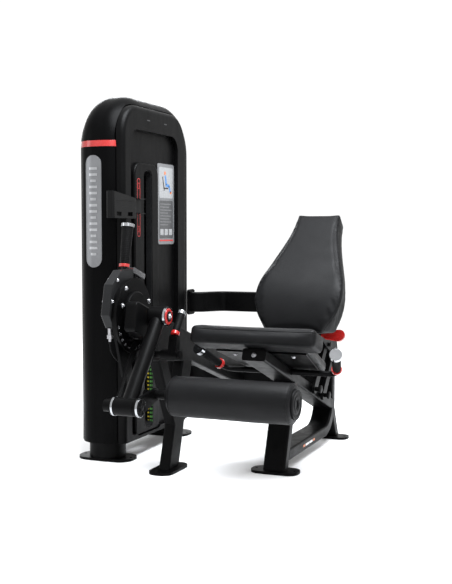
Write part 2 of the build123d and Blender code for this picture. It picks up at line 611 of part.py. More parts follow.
def make_control_cable(tip):
    """Release cable from the crescent's foot to a clamp near the tip of the cam plate."""
    x = -548.0
    top = (x, -484, 600)
    route = [top, (x - 2, -478, 566), (x + 2, -452, 530), (x + 10, -420, 506), (x + 14, -398, 474), (x + 14, -396, 440)]
    turns = [Vector(*b) - Vector(*a) for a, b in zip(route, route[1:])]
    radii = []
    for first, second in zip(turns, turns[1:]):
        half_turn = math.radians(first.get_angle(second) / 2)
        radii.append(0.45 * min(first.length, second.length) / math.tan(half_turn))
    print("control cable bend radii", [round(r, 1) for r in radii])
    path = FilletPolyline(*route, radius=radii)
    cable = sweep(Plane(Vector(*top), z_dir=turns[0]) * Circle(3.2), path=path)
    expected = math.pi * 3.2 ** 2 * sum(e.length for e in path.edges())
    print("control cable length", round(sum(e.length for e in path.edges()), 1),
          "volume ratio", round(cable.volume / expected, 4))
    nodes["control_cable"] = cable
    adjuster = round_bar((x, -486, 655), (x, -485, 628), 8)
    adjuster += round_bar((x, -485, 628), (x, -484.5, 612), 12)
    adjuster += round_bar((x, -484.5, 612), top, 6)
    clamp = round_bar(route[-1], (route[-1][0], route[-1][1], route[-1][2] - 16), 7)
    plunger = side_plate(Pos(-262, 873) * Rot(0, 0, -18) * RectangleRounded(112, 22, 6), -556, -528)
    nodes["cable_fittings"] = Compound(children=[adjuster.solid(), clamp.solid(), plunger.solid()])


# ---- seat lever ----
def make_seat_lever():
    foot = (SEAT_LEVER_X, -306, 619)
    end = (SEAT_LEVER_X, -232, 710)
    sleeve = round_x(SEAT_LEVER_Y, SEAT_LEVER_Z, 21, SEAT_LEVER_X - 55, SEAT_LEVER_X + 22, 14 + RUNNING)
    cheek = hull_plate([(SEAT_LEVER_Y, SEAT_LEVER_Z, 20), (-304, 605, 16)], SEAT_LEVER_X - 20, SEAT_LEVER_X + 16)
    cheek = cheek - round_x(SEAT_LEVER_Y, SEAT_LEVER_Z, 14 + RUNNING, SEAT_LEVER_X - 30, SEAT_LEVER_X + 30)
    bracket = sleeve + cheek
    nodes["seat_lever_bracket"] = bracket - round_bar(foot, end, 60)
    nodes["seat_lever_grip"] = round_bar(along(foot, end, 0.12), along(foot, end, 0.87), 14.5, 16)
    ring = round_bar(foot, along(foot, end, 0.12), 18)
    cap = round_bar(along(foot, end, 0.87), end, 18)
    nodes["seat_lever_ends"] = Compound(children=[ring.solid(), cap.solid()])


# ---- seat and back ----
def slanted_block(x_half_front, x_half_rear, start, stop, low, high, rounding):
    """Block lying along the seat beam between two distances and two heights above its middle line."""
    angle = BEAM_SLOPE
    origin = beam_point(start, low)
    plane = Plane((0, *origin), x_dir=(1, 0, 0), z_dir=(0, math.sin(math.radians(angle)), math.cos(math.radians(angle))))
    length = stop - start
    outline = Polyline((-x_half_front, 0), (x_half_front, 0), (x_half_rear, length), (-x_half_rear, length),
                       (-x_half_front, 0))
    solid = extrude(plane * make_face(outline), high - low)
    if rounding:
        solid = fillet(solid.edges(), rounding)
    return solid


def make_seat():
    pan_low = NARROW / 2
    pan_high = pan_low + PAN_THICK
    nodes["seat_pan"] = slanted_block(200, 160, 66, 425, pan_low, pan_high, 0)
    main = slanted_block(SEAT_WIDTH / 2, 180, 20, 440, pan_high, pan_high + CUSHION_THICK, 16)
    nose = slanted_block(NOSE_WIDTH / 2, NOSE_WIDTH / 2, -72, 62, pan_low + 1.5, 106, 20)
    nodes["seat_pad"] = (nose + main).solid()


def pad_line(height):
    """(Y, Z) on the back pad's face at a length along it, and its angle from upright in degrees."""
    arc_length = PAD_CURVE * math.radians(PAD_HIGH_ANGLE - PAD_LOW_ANGLE)
    angle = PAD_LOW_ANGLE + math.degrees(min(height, arc_length) / PAD_CURVE)
    low, now = math.radians(PAD_LOW_ANGLE), math.radians(angle)
    y = PAD_BOTTOM[0] + PAD_CURVE * (math.cos(low) - math.cos(now))
    z = PAD_BOTTOM[1] + PAD_CURVE * (math.sin(now) - math.sin(low))
    beyond = max(0.0, height - arc_length)
    return (y + beyond * math.sin(now), z + beyond * math.cos(now), angle)


def pad_point(height, depth):
    """(Y, Z) at a length along the back pad and a depth behind its face."""
    y, z, angle = pad_line(height)
    turn = math.radians(angle)
    return (y + depth * math.cos(turn), z - depth * math.sin(turn))


def pad_band(front, rear, low, high):
    """Curved band in Y and Z between two depths behind the pad's face and two lengths along it."""
    bend = PAD_CURVE * math.radians(PAD_HIGH_ANGLE - PAD_LOW_ANGLE)
    pieces = []
    for depth in (front, rear):
        if low < bend:
            arc = ThreePointArc(pad_point(low, depth), pad_point((low + bend) / 2, depth), pad_point(bend, depth))
            pieces += [arc, Line(pad_point(bend, depth), pad_point(high, depth))]
        else:
            pieces.append(Line(pad_point(low, depth), pad_point(high, depth)))
    pieces.append(Line(pad_point(low, front), pad_point(low, rear)))
    pieces.append(Line(pad_point(high, front), pad_point(high, rear)))
    edges = [edge for piece in pieces for edge in piece.edges()]
    return make_face(edges)


def make_back_pad():
    """Bowling-pin cushion: wide at the small of the back, narrow at the shoulders."""
    top = PAD_CURVE * math.radians(PAD_HIGH_ANGLE - PAD_LOW_ANGLE) + PAD_STRAIGHT
    band = side_plate(pad_band(0, PAD_THICK, -75, top), -220, 220)
    tilt = math.radians(38)
    facing = Plane((0, *PAD_BOTTOM), x_dir=(1, 0, 0), z_dir=(0, -math.cos(tilt), math.sin(tilt)))
    half_outline = [(0, -120), (112, -120), (152, -40), (210, 112), (180, 262), (140, 405), (114, 545), (107, 620), (0, 620)]
    right = Line(half_outline[0], half_outline[1])
    right += Polyline(half_outline[1], half_outline[2])
    right += Spline(*half_outline[2:7])
    right += Polyline(*half_outline[6:9])
    left = mirror(right, about=Plane.YZ)
    outline = make_face([*right.edges(), *left.edges()])
    shoulders = outline.vertices().sort_by(Axis.Y)[-2:]
    outline = fillet(shoulders, 24)
    pin = extrude(facing * outline, 500, both=True)
    nodes["back_pad"] = (band & pin).solid()


def link_arm(lower, name, cross_share):
    """Pair of side bars joined by a cross tube, from a lower pivot to its upper pivot."""
    upper = (lower[0] + LINK_REACH[0], lower[1] + LINK_REACH[1])
    arm = Part()
    for x in (-70, 56):
        arm += hull_plate([(*lower, 24), (*upper, 19)], x, x + 14)
    cross = along(lower, upper, cross_share)
    arm += round_x(*cross, 13, -70, 70)
    for x in (-86, 70):
        arm += round_x(*upper, 8, x, x + 16)
    arm -= round_x(*lower, 10 + RUNNING, -100, 100)
    nodes[name] = arm
    return upper


def make_back_carriage(front_top, rear_top):
    """Side plates on the link arms that carry the pad's mounting plate and the release handle."""
    handle = release_pivot()
    sides = Part()
    for x in (-80, 72):
        circles = [(*front_top, 22), (*rear_top, 20), (*handle, 18)]
        circles.append((*pad_point(250, PAD_THICK + 19), 18))
        circles.append((*pad_point(330, PAD_THICK + 19), 18))
        sides += hull_plate(circles, x, x + 8)
    behind_pad = side_plate(pad_band(-50, PAD_THICK + 3, -80, 600), -100, 100)
    plate = side_plate(pad_band(PAD_THICK, PAD_THICK + 6, 235, 420), -80, 80)
    carriage = sides - behind_pad + plate
    carriage -= round_x(*front_top, 8 + RUNNING, -100, 100)
    carriage -= round_x(*rear_top, 8.6, -100, 100)
    carriage -= round_x(*handle, 9 + RUNNING, -100, 100)
    nodes["back_carriage"] = carriage


def release_pivot():
    return (418.0, 566.0)


def make_release_handle():
    """Bar across the back with a flat wing for each hand."""
    y, z = release_pivot()
    handle = round_x(y, z, 9, -100, 100)
    tilt = math.radians(62)
    facing = Plane((0, y, z), x_dir=(1, 0, 0), z_dir=(0, -math.sin(tilt), math.cos(tilt)))
    for side in (-1, 1):
        circles = [Pos(side * 105, 0) * Circle(20), Pos(side * 165, 0) * Circle(28)]
        wing = make_hull([edge for circle in circles for edge in circle.edges()])
        handle += extrude(facing * wing, 6, both=True)
    nodes["release_handle"] = handle


def make_back():
    front_top = link_arm(LINK_FRONT, "front_link", 0.62)
    rear_top = link_arm(LINK_REAR, "rear_link", 0.62)
    make_back_carriage(front_top, rear_top)
    make_release_handle()
    make_back_pad()


def build():
    make_tower_shells()
    make_side_cover()
    make_window()
    make_tower_frame()
    make_stack()
    make_accessory_holder()
    make_foot_plates()
    make_seat_frame()
    make_hand_grips()
    make_knee_frame()
    make_knee_arm()
    make_roller()
    make_range_lever()
    make_seat_lever()
    make_seat()
    make_back()


def origin_shift():
    """Move that puts the origin at the bottom centre of the whole machine."""
    boxes = [shape.bounding_box() for shape in nodes.values()]
    middle_x = (min(b.min.X for b in boxes) + max(b.max.X for b in boxes)) / 2
    middle_y = (min(b.min.Y for b in boxes) + max(b.max.Y for b in boxes)) / 2
    return Vector(-middle_x, -middle_y, -min(b.min.Z for b in boxes))


build()
shift = origin_shift()
print("shift to the bottom centre", shift)
os.makedirs("parts", exist_ok=True)
for node_name, shape in nodes.items():
    export_step(Pos(shift) * shape, f"parts/{node_name}.step")
print("nodes written", len(nodes))
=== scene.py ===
import json
import math

import bmesh
import bpy
from mathutils import Matrix, Vector, noise
from mathutils.bvhtree import BVHTree


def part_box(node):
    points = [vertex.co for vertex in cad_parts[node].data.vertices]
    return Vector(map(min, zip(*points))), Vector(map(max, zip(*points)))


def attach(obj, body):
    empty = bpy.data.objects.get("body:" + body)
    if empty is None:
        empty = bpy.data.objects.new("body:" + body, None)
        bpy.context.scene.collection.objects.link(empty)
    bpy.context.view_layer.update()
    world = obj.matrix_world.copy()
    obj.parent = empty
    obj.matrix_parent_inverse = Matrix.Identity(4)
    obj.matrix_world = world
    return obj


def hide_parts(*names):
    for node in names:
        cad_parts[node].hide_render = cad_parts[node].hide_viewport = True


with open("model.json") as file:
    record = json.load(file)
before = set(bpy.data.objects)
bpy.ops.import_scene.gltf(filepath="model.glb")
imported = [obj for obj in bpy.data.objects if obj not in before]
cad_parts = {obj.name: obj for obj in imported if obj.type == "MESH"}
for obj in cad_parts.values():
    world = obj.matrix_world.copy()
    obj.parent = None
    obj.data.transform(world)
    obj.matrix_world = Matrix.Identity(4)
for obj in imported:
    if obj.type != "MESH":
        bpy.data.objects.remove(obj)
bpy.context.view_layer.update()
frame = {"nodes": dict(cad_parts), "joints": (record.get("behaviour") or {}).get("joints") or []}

# Looks of the leg extension machine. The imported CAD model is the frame: every place below is worked out
# from its nodes' boxes and its joints' axes, in metres.

cad_nodes = frame["nodes"]
joints = {joint["name"]: joint for joint in frame["joints"]}
X_AXIS = Vector((1, 0, 0))
Y_AXIS = Vector((0, 1, 0))
Z_AXIS = Vector((0, 0, 1))
SEAT_SLOPE = math.radians(20)            # the seat falls this much towards the back
PLATE_COUNT = 15
PLATE_PITCH = 0.019
PLATE_MIDDLE = 0.0092                    # from a plate's underside to the middle of its face
FILM = 0.0004                            # thickness of a printed mark
WELT_RADIUS = 0.0016
COVER_VOXEL = 0.005                      # mesh size of a cushion's cover
CLOTH_FRAMES = 20
INDEX_HOLE_RADIUS = 0.14                 # of the circle of start positions on the index disc
DRAWN_KNEE = Vector((-449.0, -360.0, 700.0))   # the knee joint in the drawing, in mm
BEAM_FRONT_Y, BEAM_FRONT_Z = -263, 545   # front end of the seat beam's middle line in the drawing, in mm


# ---- materials ----
class Shader:
    """Builds a material's node tree, one labelled step at a time."""

    def __init__(self, name):
        self.material = bpy.data.materials.new(name)
        self.material.use_nodes = True
        self.tree = self.material.node_tree
        self.surface = self.tree.nodes["Principled BSDF"]
        self.place = self.add("ShaderNodeTexCoord").outputs["Object"]

    def add(self, kind, inputs=(), **settings):
        node = self.tree.nodes.new(kind)
        for key, value in settings.items():
            setattr(node, key, value)
        for key, value in dict(inputs).items():
            self.feed(node.inputs[key], value)
        return node

    def feed(self, socket, value):
        if isinstance(value, bpy.types.NodeSocket):
            self.tree.links.new(value, socket)
        else:
            socket.default_value = value

    def stretched(self, stretch):
        """Object coordinates scaled along each axis, for grain that runs one way."""
        return self.add("ShaderNodeMapping", {"Vector": self.place, "Scale": stretch}).outputs["Vector"]

    def noise(self, scale, detail=3.0, roughness=0.5, place=None, distortion=0.0):
        inputs = {"Vector": place or self.place, "Scale": scale, "Detail": detail, "Roughness": roughness,
                  "Distortion": distortion}
        return self.add("ShaderNodeTexNoise", inputs).outputs["Fac"]

    def cells(self, scale, feature="DISTANCE_TO_EDGE", place=None):
        inputs = {"Vector": place or self.place, "Scale": scale}
        return self.add("ShaderNodeTexVoronoi", inputs, feature=feature).outputs["Distance"]

    def spread(self, value, low, high, out_low, out_high):
        inputs = {"Value": value, "From Min": low, "From Max": high, "To Min": out_low, "To Max": out_high}
        return self.add("ShaderNodeMapRange", inputs).outputs["Result"]

    def math(self, operation, first, second=0.0):
        return self.add("ShaderNodeMath", {0: first, 1: second}, operation=operation).outputs[0]

    def mix(self, share, first, second):
        node = self.add("ShaderNodeMix", data_type="RGBA")
        self.feed(node.inputs[0], share)
        self.feed(node.inputs[6], first)
        self.feed(node.inputs[7], second)
        return node.outputs[2]

    def rounded(self, radius):
        """Normal that rounds the edges of a solid by a small radius."""
        return self.add("ShaderNodeBevel", {"Radius": radius}, samples=4).outputs["Normal"]

    def edges(self, normal, low=0.02, high=0.2):
        """Mask of the edges that a rounded normal finds."""
        true_normal = self.add("ShaderNodeNewGeometry").outputs["True Normal"]
        node = self.add("ShaderNodeVectorMath", {0: normal, 1: true_normal}, operation="DOT_PRODUCT")
        away = self.math("SUBTRACT", 1.0, node.outputs["Value"])
        return self.spread(away, low, high, 0.0, 1.0)

    def bump(self, height, distance, strength=1.0, normal=None):
        inputs = {"Height": height, "Distance": distance, "Strength": strength}
        if normal is not None:
            inputs["Normal"] = normal
        return self.add("ShaderNodeBump", inputs).outputs["Normal"]

    def finish(self, colour, roughness, normal=None, **constants):
        self.feed(self.surface.inputs["Base Color"], colour)
        self.feed(self.surface.inputs["Roughness"], roughness)
        if normal is not None:
            self.feed(self.surface.inputs["Normal"], normal)
        for key, value in constants.items():
            self.surface.inputs[key.replace("_", " ")].default_value = value
        return self.material


def rgb(red, green, blue):
    return (red, green, blue, 1.0)


def powder_coat(name, dark, light):
    """Baked powder paint: orange-peel skin, cloudy sheen, edges lighter in patches, partly worn by rubbing
    and partly a painted edge highlight.
    """
    s = Shader(name)
    cloud = s.noise(9.0, 4.0)
    soft = s.rounded(0.0012)
    # Worn edges that are also a painted edge highlight: the edge mask, broken up by noise, mixes the colour
    # lighter.
    rubbed_and_highlit_edges = s.math("MULTIPLY", s.edges(soft), s.spread(s.noise(60.0, 5.0), 0.42, 0.68, 0.0, 0.55))
    colour = s.mix(s.spread(cloud, 0.35, 0.65, 0.0, 1.0), rgb(*dark), rgb(*light))
    colour = s.mix(rubbed_and_highlit_edges, colour, rgb(0.008, 0.008, 0.0084))
    peel = s.bump(s.noise(620.0, 2.0), 0.00018, 0.5, soft)
    fine = s.bump(s.noise(2600.0, 1.0), 0.00004, 0.4, peel)
    rough = s.spread(s.noise(23.0, 5.0), 0.3, 0.7, 0.33, 0.45)
    return s.finish(colour, rough, fine, Specular_IOR_Level=0.05)


def moulded_plastic(name, dark, light, rough_low, rough_high, spark=1500.0, level=0.05):
    """Textured moulding: spark-eroded grain, slow drift of sheen, faint handling marks."""
    s = Shader(name)
    cloud = s.noise(4.0, 5.0)
    soft = s.rounded(0.0015)
    colour = s.mix(s.spread(cloud, 0.35, 0.65, 0.0, 1.0), rgb(*dark), rgb(*light))
    grain = s.bump(s.cells(spark, "F1"), 0.00008, 0.55, soft)
    grain = s.bump(s.noise(spark * 0.35, 3.0), 0.00012, 0.35, grain)
    marks = s.noise(30.0, 6.0, 0.65, s.stretched((1.0, 1.0, 0.25)))
    rough = s.spread(marks, 0.3, 0.7, rough_low, rough_high)
    return s.finish(colour, rough, grain, Specular_IOR_Level=level)


def gloss_plastic(name, deep, bright):
    """Coloured gloss moulding with a little flow and fine scratches."""
    s = Shader(name)
    colour = s.mix(s.spread(s.noise(14.0, 4.0), 0.35, 0.65, 0.0, 1.0), rgb(*deep), rgb(*bright))
    soft = s.rounded(0.001)
    scratches = s.noise(900.0, 2.0, 0.5, s.stretched((0.05, 1.0, 1.0)))
    rough = s.spread(scratches, 0.3, 0.75, 0.2, 0.34)
    return s.finish(colour, rough, s.bump(s.noise(180.0, 3.0), 0.00012, 0.3, soft), Coat_Weight=0.35,
                    Coat_Roughness=0.12)


def vinyl(name, dark, light):
    """Upholstery vinyl: pebbled leather grain in two sizes, creases, sheen that varies with rubbing, and
    painted shade darkening the furrows of the grain.
    """
    s = Shader(name)
    warp = s.noise(70.0, 2.0)
    wobble = s.add("ShaderNodeVectorMath", {0: s.place, 1: (0.004, 0.004, 0.004)}, operation="MULTIPLY_ADD")
    s.feed(wobble.inputs[0], s.add("ShaderNodeCombineXYZ", {"X": warp, "Y": warp, "Z": warp}).outputs[0])
    s.feed(wobble.inputs[2], s.place)
    pebbles = s.cells(430.0, place=wobble.outputs["Vector"])
    pores = s.cells(1300.0, place=wobble.outputs["Vector"])
    creases = s.noise(48.0, 4.0, 0.55, s.stretched((1.0, 1.6, 1.6)), 0.6)
    colour = s.mix(s.spread(s.noise(7.0, 5.0), 0.35, 0.65, 0.0, 1.0), rgb(*dark), rgb(*light))
    # Painted shade: the colour darkens in the furrows between the grain's pebbles, where the bump sits
    # lowest.
    furrow_shade = s.spread(pebbles, 0.0, 0.18, 0.75, 0.0)
    colour = s.mix(furrow_shade, colour, rgb(*(0.45 * c for c in dark)))
    normal = s.bump(s.spread(pebbles, 0.0, 0.35, 0.0, 1.0), 0.00022, 0.55)
    normal = s.bump(s.spread(pores, 0.0, 0.4, 0.0, 1.0), 0.00006, 0.5, normal)
    normal = s.bump(creases, 0.0011, 0.35, normal)
    rough = s.spread(s.noise(16.0, 5.0), 0.3, 0.7, 0.4, 0.54)
    return s.finish(colour, rough, normal, Specular_IOR_Level=0.1)


def metal(name, tint, rough_low, rough_high, stretch, grain_depth=0.00004, grain_scale=500.0):
    """Bare metal with a grain that runs one way."""
    s = Shader(name)
    grain = s.noise(grain_scale, 3.0, 0.6, s.stretched(stretch))
    dull = rgb(*(0.86 * c for c in tint))
    colour = s.mix(s.spread(s.noise(20.0, 4.0), 0.3, 0.7, 0.0, 1.0), dull, rgb(*tint))
    rough = s.spread(grain, 0.3, 0.7, rough_low, rough_high)
    return s.finish(colour, rough, s.bump(grain, grain_depth, 0.6, s.rounded(0.0007)), Metallic=1.0)


def rubber(name, colour):
    """Moulded rubber: dusty tone, fine stipple and shallow wear."""
    s = Shader(name)
    dust = s.spread(s.noise(38.0, 6.0), 0.35, 0.75, 0.0, 0.6)
    shade = s.mix(dust, rgb(*colour), rgb(*(2.3 * c for c in colour)))
    stipple = s.bump(s.cells(1100.0, "F1"), 0.00012, 0.6)
    rough = s.spread(s.noise(55.0, 4.0), 0.3, 0.7, 0.5, 0.68)
    return s.finish(shade, rough, s.bump(s.noise(90.0, 3.0), 0.0003, 0.3, stipple), Specular_IOR_Level=0.08)


def painted_iron(name):
    """Weight plates: black hammered paint over cast iron, chipped lighter at the edges."""
    s = Shader(name)
    soft = s.rounded(0.0015)
    chips = s.math("MULTIPLY", s.edges(soft, 0.01, 0.12), s.spread(s.noise(170.0, 4.0), 0.5, 0.6, 0.0, 1.0))
    base = s.mix(s.spread(s.noise(25.0, 5.0), 0.35, 0.65, 0.0, 1.0), rgb(0.004, 0.004, 0.0042),
                 rgb(0.007, 0.007, 0.0073))
    colour = s.mix(s.math("MULTIPLY", chips, 0.7), base, rgb(0.05, 0.048, 0.046))
    hammered = s.bump(s.cells(210.0, "SMOOTH_F1"), 0.0005, 0.4, soft)
    rough = s.spread(s.noise(70.0, 5.0), 0.3, 0.7, 0.4, 0.6)
    return s.finish(colour, rough, hammered, Specular_IOR_Level=0.08)


def printed(name, colour, gloss=0.35):
    """Printed label film: flat ink with faint mottling and a skin of fine ripples."""
    s = Shader(name)
    darker = rgb(*(0.82 * c for c in colour))
    ink = s.mix(s.spread(s.noise(240.0, 4.0), 0.3, 0.7, 0.0, 1.0), darker, rgb(*colour))
    rough = s.spread(s.noise(60.0, 4.0), 0.3, 0.7, gloss, gloss + 0.15)
    return s.finish(ink, rough, s.bump(s.noise(300.0, 2.0), 0.00006, 0.3))


def strand_cable(name):
    """Nylon-coated steel rope: dark jacket over a faint lay of strands."""
    s = Shader(name)
    lay = s.add("ShaderNodeTexWave", {"Vector": s.place, "Scale": 260.0, "Distortion": 0.4},
                bands_direction="DIAGONAL").outputs["Fac"]
    colour = s.mix(lay, rgb(0.012, 0.012, 0.012), rgb(0.03, 0.03, 0.03))
    rough = s.spread(s.noise(200.0, 3.0), 0.3, 0.7, 0.3, 0.5)
    return s.finish(colour, rough, s.bump(lay, 0.0003, 0.5))


MATERIALS = {
    "paint": powder_coat("frame_paint", (0.001, 0.001, 0.0011), (0.0018, 0.0018, 0.0019)),
    "shell": moulded_plastic("shell_plastic", (0.0008, 0.0008, 0.0009), (0.0012, 0.0012, 0.0013),
                             0.3, 0.42, 1500.0, 0.03),
    "panel": moulded_plastic("cover_plastic", (0.0012, 0.0012, 0.0013), (0.0018, 0.0018, 0.0019),
                             0.34, 0.48, 1500.0, 0.055),
    "holder": moulded_plastic("holder_plastic", (0.0024, 0.0024, 0.0025), (0.0036, 0.0036, 0.0038),
                              0.36, 0.5, 900.0, 0.1),
    "grey": moulded_plastic("grey_housing", (0.009, 0.0092, 0.0096), (0.013, 0.0133, 0.0138),
                            0.32, 0.44, 1500.0, 0.1),
    "liner": moulded_plastic("liner_grey", (0.008, 0.0082, 0.0085), (0.012, 0.0122, 0.0127), 0.34, 0.46),
    "red": gloss_plastic("red_plastic", (0.26, 0.009, 0.008), (0.36, 0.014, 0.012)),
    "vinyl": vinyl("upholstery_vinyl", (0.0036, 0.0037, 0.0041), (0.0052, 0.0053, 0.0058)),
    "piping": vinyl("piping_vinyl", (0.0026, 0.0026, 0.0028), (0.004, 0.004, 0.0043)),
    "thread": printed("stitch_thread", (0.009, 0.009, 0.0094), 0.6),
    "chrome": metal("chrome_trim", (0.38, 0.39, 0.405), 0.08, 0.18, (1.0, 1.0, 0.2)),
    "silver": metal("silver_plate", (0.2, 0.203, 0.21), 0.34, 0.48, (1.0, 1.0, 0.04), 0.00006, 900.0),
    "relief": metal("silver_relief", (0.4, 0.405, 0.415), 0.28, 0.38, (1.0, 1.0, 0.04), 0.00004, 900.0),
    "steel": metal("steel_shaft", (0.4, 0.4, 0.42), 0.2, 0.34, (0.05, 1.0, 1.0)),
    "bronze": metal("bronze_bush", (0.5, 0.34, 0.16), 0.25, 0.4, (0.1, 1.0, 1.0)),
    "zinc": metal("bright_zinc", (0.34, 0.34, 0.355), 0.16, 0.3, (1.0, 1.0, 1.0), 0.00003, 800.0),
    "iron": painted_iron("plate_iron"),
    "tab": moulded_plastic("tab_plastic", (0.0022, 0.0022, 0.0024), (0.0036, 0.0036, 0.0038),
                           0.35, 0.5, 800.0, 0.08),
    "rubber": rubber("black_rubber", (0.0016, 0.0016, 0.0017)),
    "cable": strand_cable("cable_sheath"),
    "card": printed("placard_card", (0.13, 0.132, 0.136)),
    "card_light": printed("placard_panel", (0.26, 0.265, 0.27)),
    "card_grey": printed("placard_grey", (0.045, 0.046, 0.048)),
    "ink_blue": printed("ink_blue", (0.05, 0.16, 0.38)),
    "ink_orange": printed("ink_orange", (0.5, 0.13, 0.03)),
    "ink_dark": printed("ink_dark", (0.012, 0.012, 0.014)),
    "ink_white": printed("ink_white", (0.6, 0.6, 0.6)),
    "ink_red": printed("ink_red", (0.4, 0.02, 0.018)),
    "ink_green": printed("ink_green", (0.07, 0.24, 0.05)),
    "ink_yellow": printed("ink_yellow", (0.55, 0.42, 0.02)),
}

LOOKS = {
    "paint": ["foot_plates", "knee_beam", "left_leg", "seat_frame", "base_frame", "cross_tubes", "grip_tube",
              "tower_frame", "leg_arm", "arm_strut", "roller_link", "seat_lever_bracket", "front_link",
              "rear_link", "back_carriage", "seat_pan", "rom_disc", "cam_wheel", "cam_plate"],
    "shell": ["front_column_shell", "rear_column_shell", "top_arch_shell", "left_cover"],
    "panel": ["side_cover", "window_frame"],
    "holder": ["accessory_holder"],
    "grey": ["crescent_housing"],
    "liner": ["window_liner"],
    "red": ["red_stripe", "hub_cap", "release_handle"],
    "silver": ["nameplate"],
    "card": ["placard"],
    "chrome": ["guide_rods", "chrome_rings", "link_ring", "hand_grip_ends", "range_lever_ends",
               "seat_lever_ends"],
    "zinc": ["cable_fittings"],
    "steel": ["knee_shaft"],
    "bronze": ["knee_bearings"],
    "iron": ["resting_plates", "lifted_plates", "head_plate"],
    "tab": ["resting_tabs", "selector_tab_1", "selector_tab_2", "roller_spool", "top_pulley"],
    "rubber": ["rubber_bumpers", "hand_grips", "range_lever_grip", "seat_lever_grip", "control_cable"],
    "cable": ["lift_cable", "cable_run"],
    "vinyl": ["seat_pad", "back_pad", "roller_pad"],
}


def dress(node, look):
    mesh = cad_nodes[node].data
    mesh.materials.clear()
    mesh.materials.append(MATERIALS[look])


for look, names in LOOKS.items():
    for node_name in names:
        dress(node_name, look)


# ---- mesh helpers ----
def piece(name, mesh, look, body, smooth=True):
    """New visible piece that rides on a CAD body."""
    obj = bpy.data.objects.new(name, mesh)
    bpy.context.scene.collection.objects.link(obj)
    mesh.materials.clear()
    mesh.materials.append(MATERIALS[look])
    if smooth:
        mesh.polygons.foreach_set("use_smooth", [True] * len(mesh.polygons))
    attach(obj, body)
    return obj


def mesh_from(name, bm):
    bmesh.ops.recalc_face_normals(bm, faces=bm.faces)
    mesh = bpy.data.meshes.new(name)
    bm.to_mesh(mesh)
    bm.free()
    return mesh


def turn_to(direction):
    """Rotation that takes +Z to a direction."""
    return Vector(direction).to_track_quat("Z", "Y").to_matrix().to_4x4()


def add_lathe(bm, profile, place, sides=32):
    """Adds a turned solid: profile holds (radius, height) from one end's axis to the other's."""
    rings = []
    for radius, height in profile:
        if radius < 1e-6:
            rings.append([bm.verts.new(place @ Vector((0, 0, height)))])
            continue
        ring = []
        for k in range(sides):
            turn = 2 * math.pi * k / sides
            spot = Vector((radius * math.cos(turn), radius * math.sin(turn), height))
            ring.append(bm.verts.new(place @ spot))
        rings.append(ring)
    for low, high in zip(rings, rings[1:]):
        for k in range(sides):
            after = (k + 1) % sides
            if len(low) == 1:
                bm.faces.new((low[0], high[after], high[k]))
            elif len(high) == 1:
                bm.faces.new((low[k], low[after], high[0]))
            else:
                bm.faces.new((low[k], low[after], high[after], high[k]))


def at(point, direction):
    return Matrix.Translation(Vector(point)) @ turn_to(direction)


def dome_profile(radius, height):
    """Domed bolt head or cap: a short straight wall, then a quarter-round top."""
    wall = height * 0.25
    points = [(0, 0), (radius, 0), (radius, wall)]
    for k in range(1, 7):
        turn = math.pi / 2 * k / 6
        points.append((radius * math.cos(turn), wall + (height - wall) * math.sin(turn)))
    points[-1] = (0, height)
    return points


def add_socket_bolt(bm, point, direction, radius=0.008, height=0.006):
    """Button-head bolt with a hexagon socket and a washer under it."""
    place = at(point, direction)
    washer = radius * 1.35
    add_lathe(bm, [(0, 0), (washer, 0), (washer, 0.0012), (radius, 0.0014)], place, 24)
    add_lathe(bm, [(radius, 0.0012), (radius, height * 0.35), (radius * 0.85, height * 0.8),
                   (radius * 0.6, height), (radius * 0.48, height)], place, 24)
    add_lathe(bm, [(radius * 0.5, height), (radius * 0.42, height * 0.35), (0, height * 0.35)], place, 6)


def add_box(bm, centre, size, axes=None, bevel=0.0):
    """Adds a box, given its middle, its sizes and its three axes."""
    basis = Matrix.Identity(3) if axes is None else Matrix(axes).transposed()
    scale = Matrix.Diagonal(Vector(size)).to_4x4()
    place = Matrix.Translation(Vector(centre)) @ basis.to_4x4() @ scale
    made = bmesh.ops.create_cube(bm, size=1.0, matrix=place)
    if bevel:
        edges = {e for v in made["verts"] for e in v.link_edges}
        bmesh.ops.bevel(bm, geom=list(edges), offset=bevel, segments=2, affect="EDGES", profile=0.7)


def add_plate(bm, outline, thickness, place):
    """Adds a flat plate with an outline in the place's own X and Y, rising along its Z."""
    low = [bm.verts.new(place @ Vector((x, y, 0))) for x, y in outline]
    high = [bm.verts.new(place @ Vector((x, y, thickness))) for x, y in outline]
    bm.faces.new(low[::-1])
    bm.faces.new(high)
    for k in range(len(outline)):
        after = (k + 1) % len(outline)
        bm.faces.new((low[k], low[after], high[after], high[k]))


def rounded_rectangle(width, height, radius, steps=6):
    points = []
    corners = [(1, 1, 0), (-1, 1, 90), (-1, -1, 180), (1, -1, 270)]
    for side_x, side_y, start in corners:
        for k in range(steps + 1):
            turn = math.radians(start + 90 * k / steps)
            points.append((side_x * (width / 2 - radius) + radius * math.cos(turn),
                           side_y * (height / 2 - radius) + radius * math.sin(turn)))
    return points


def add_frame(bm, width, height, radius, line, thickness, place):
    """Adds a rounded outline, a ring of a given line width."""
    outer = rounded_rectangle(width, height, radius)
    inner = rounded_rectangle(width - 2 * line, height - 2 * line, max(radius - line, 0.0005))
    rings = []
    for outline, z in ((outer, 0), (outer, thickness), (inner, thickness), (inner, 0)):
        rings.append([bm.verts.new(place @ Vector((x, y, z))) for x, y in outline])
    for low, high in zip(rings, rings[1:] + rings[:1]):
        for k in range(len(low)):
            after = (k + 1) % len(low)
            bm.faces.new((low[k], low[after], high[after], high[k]))


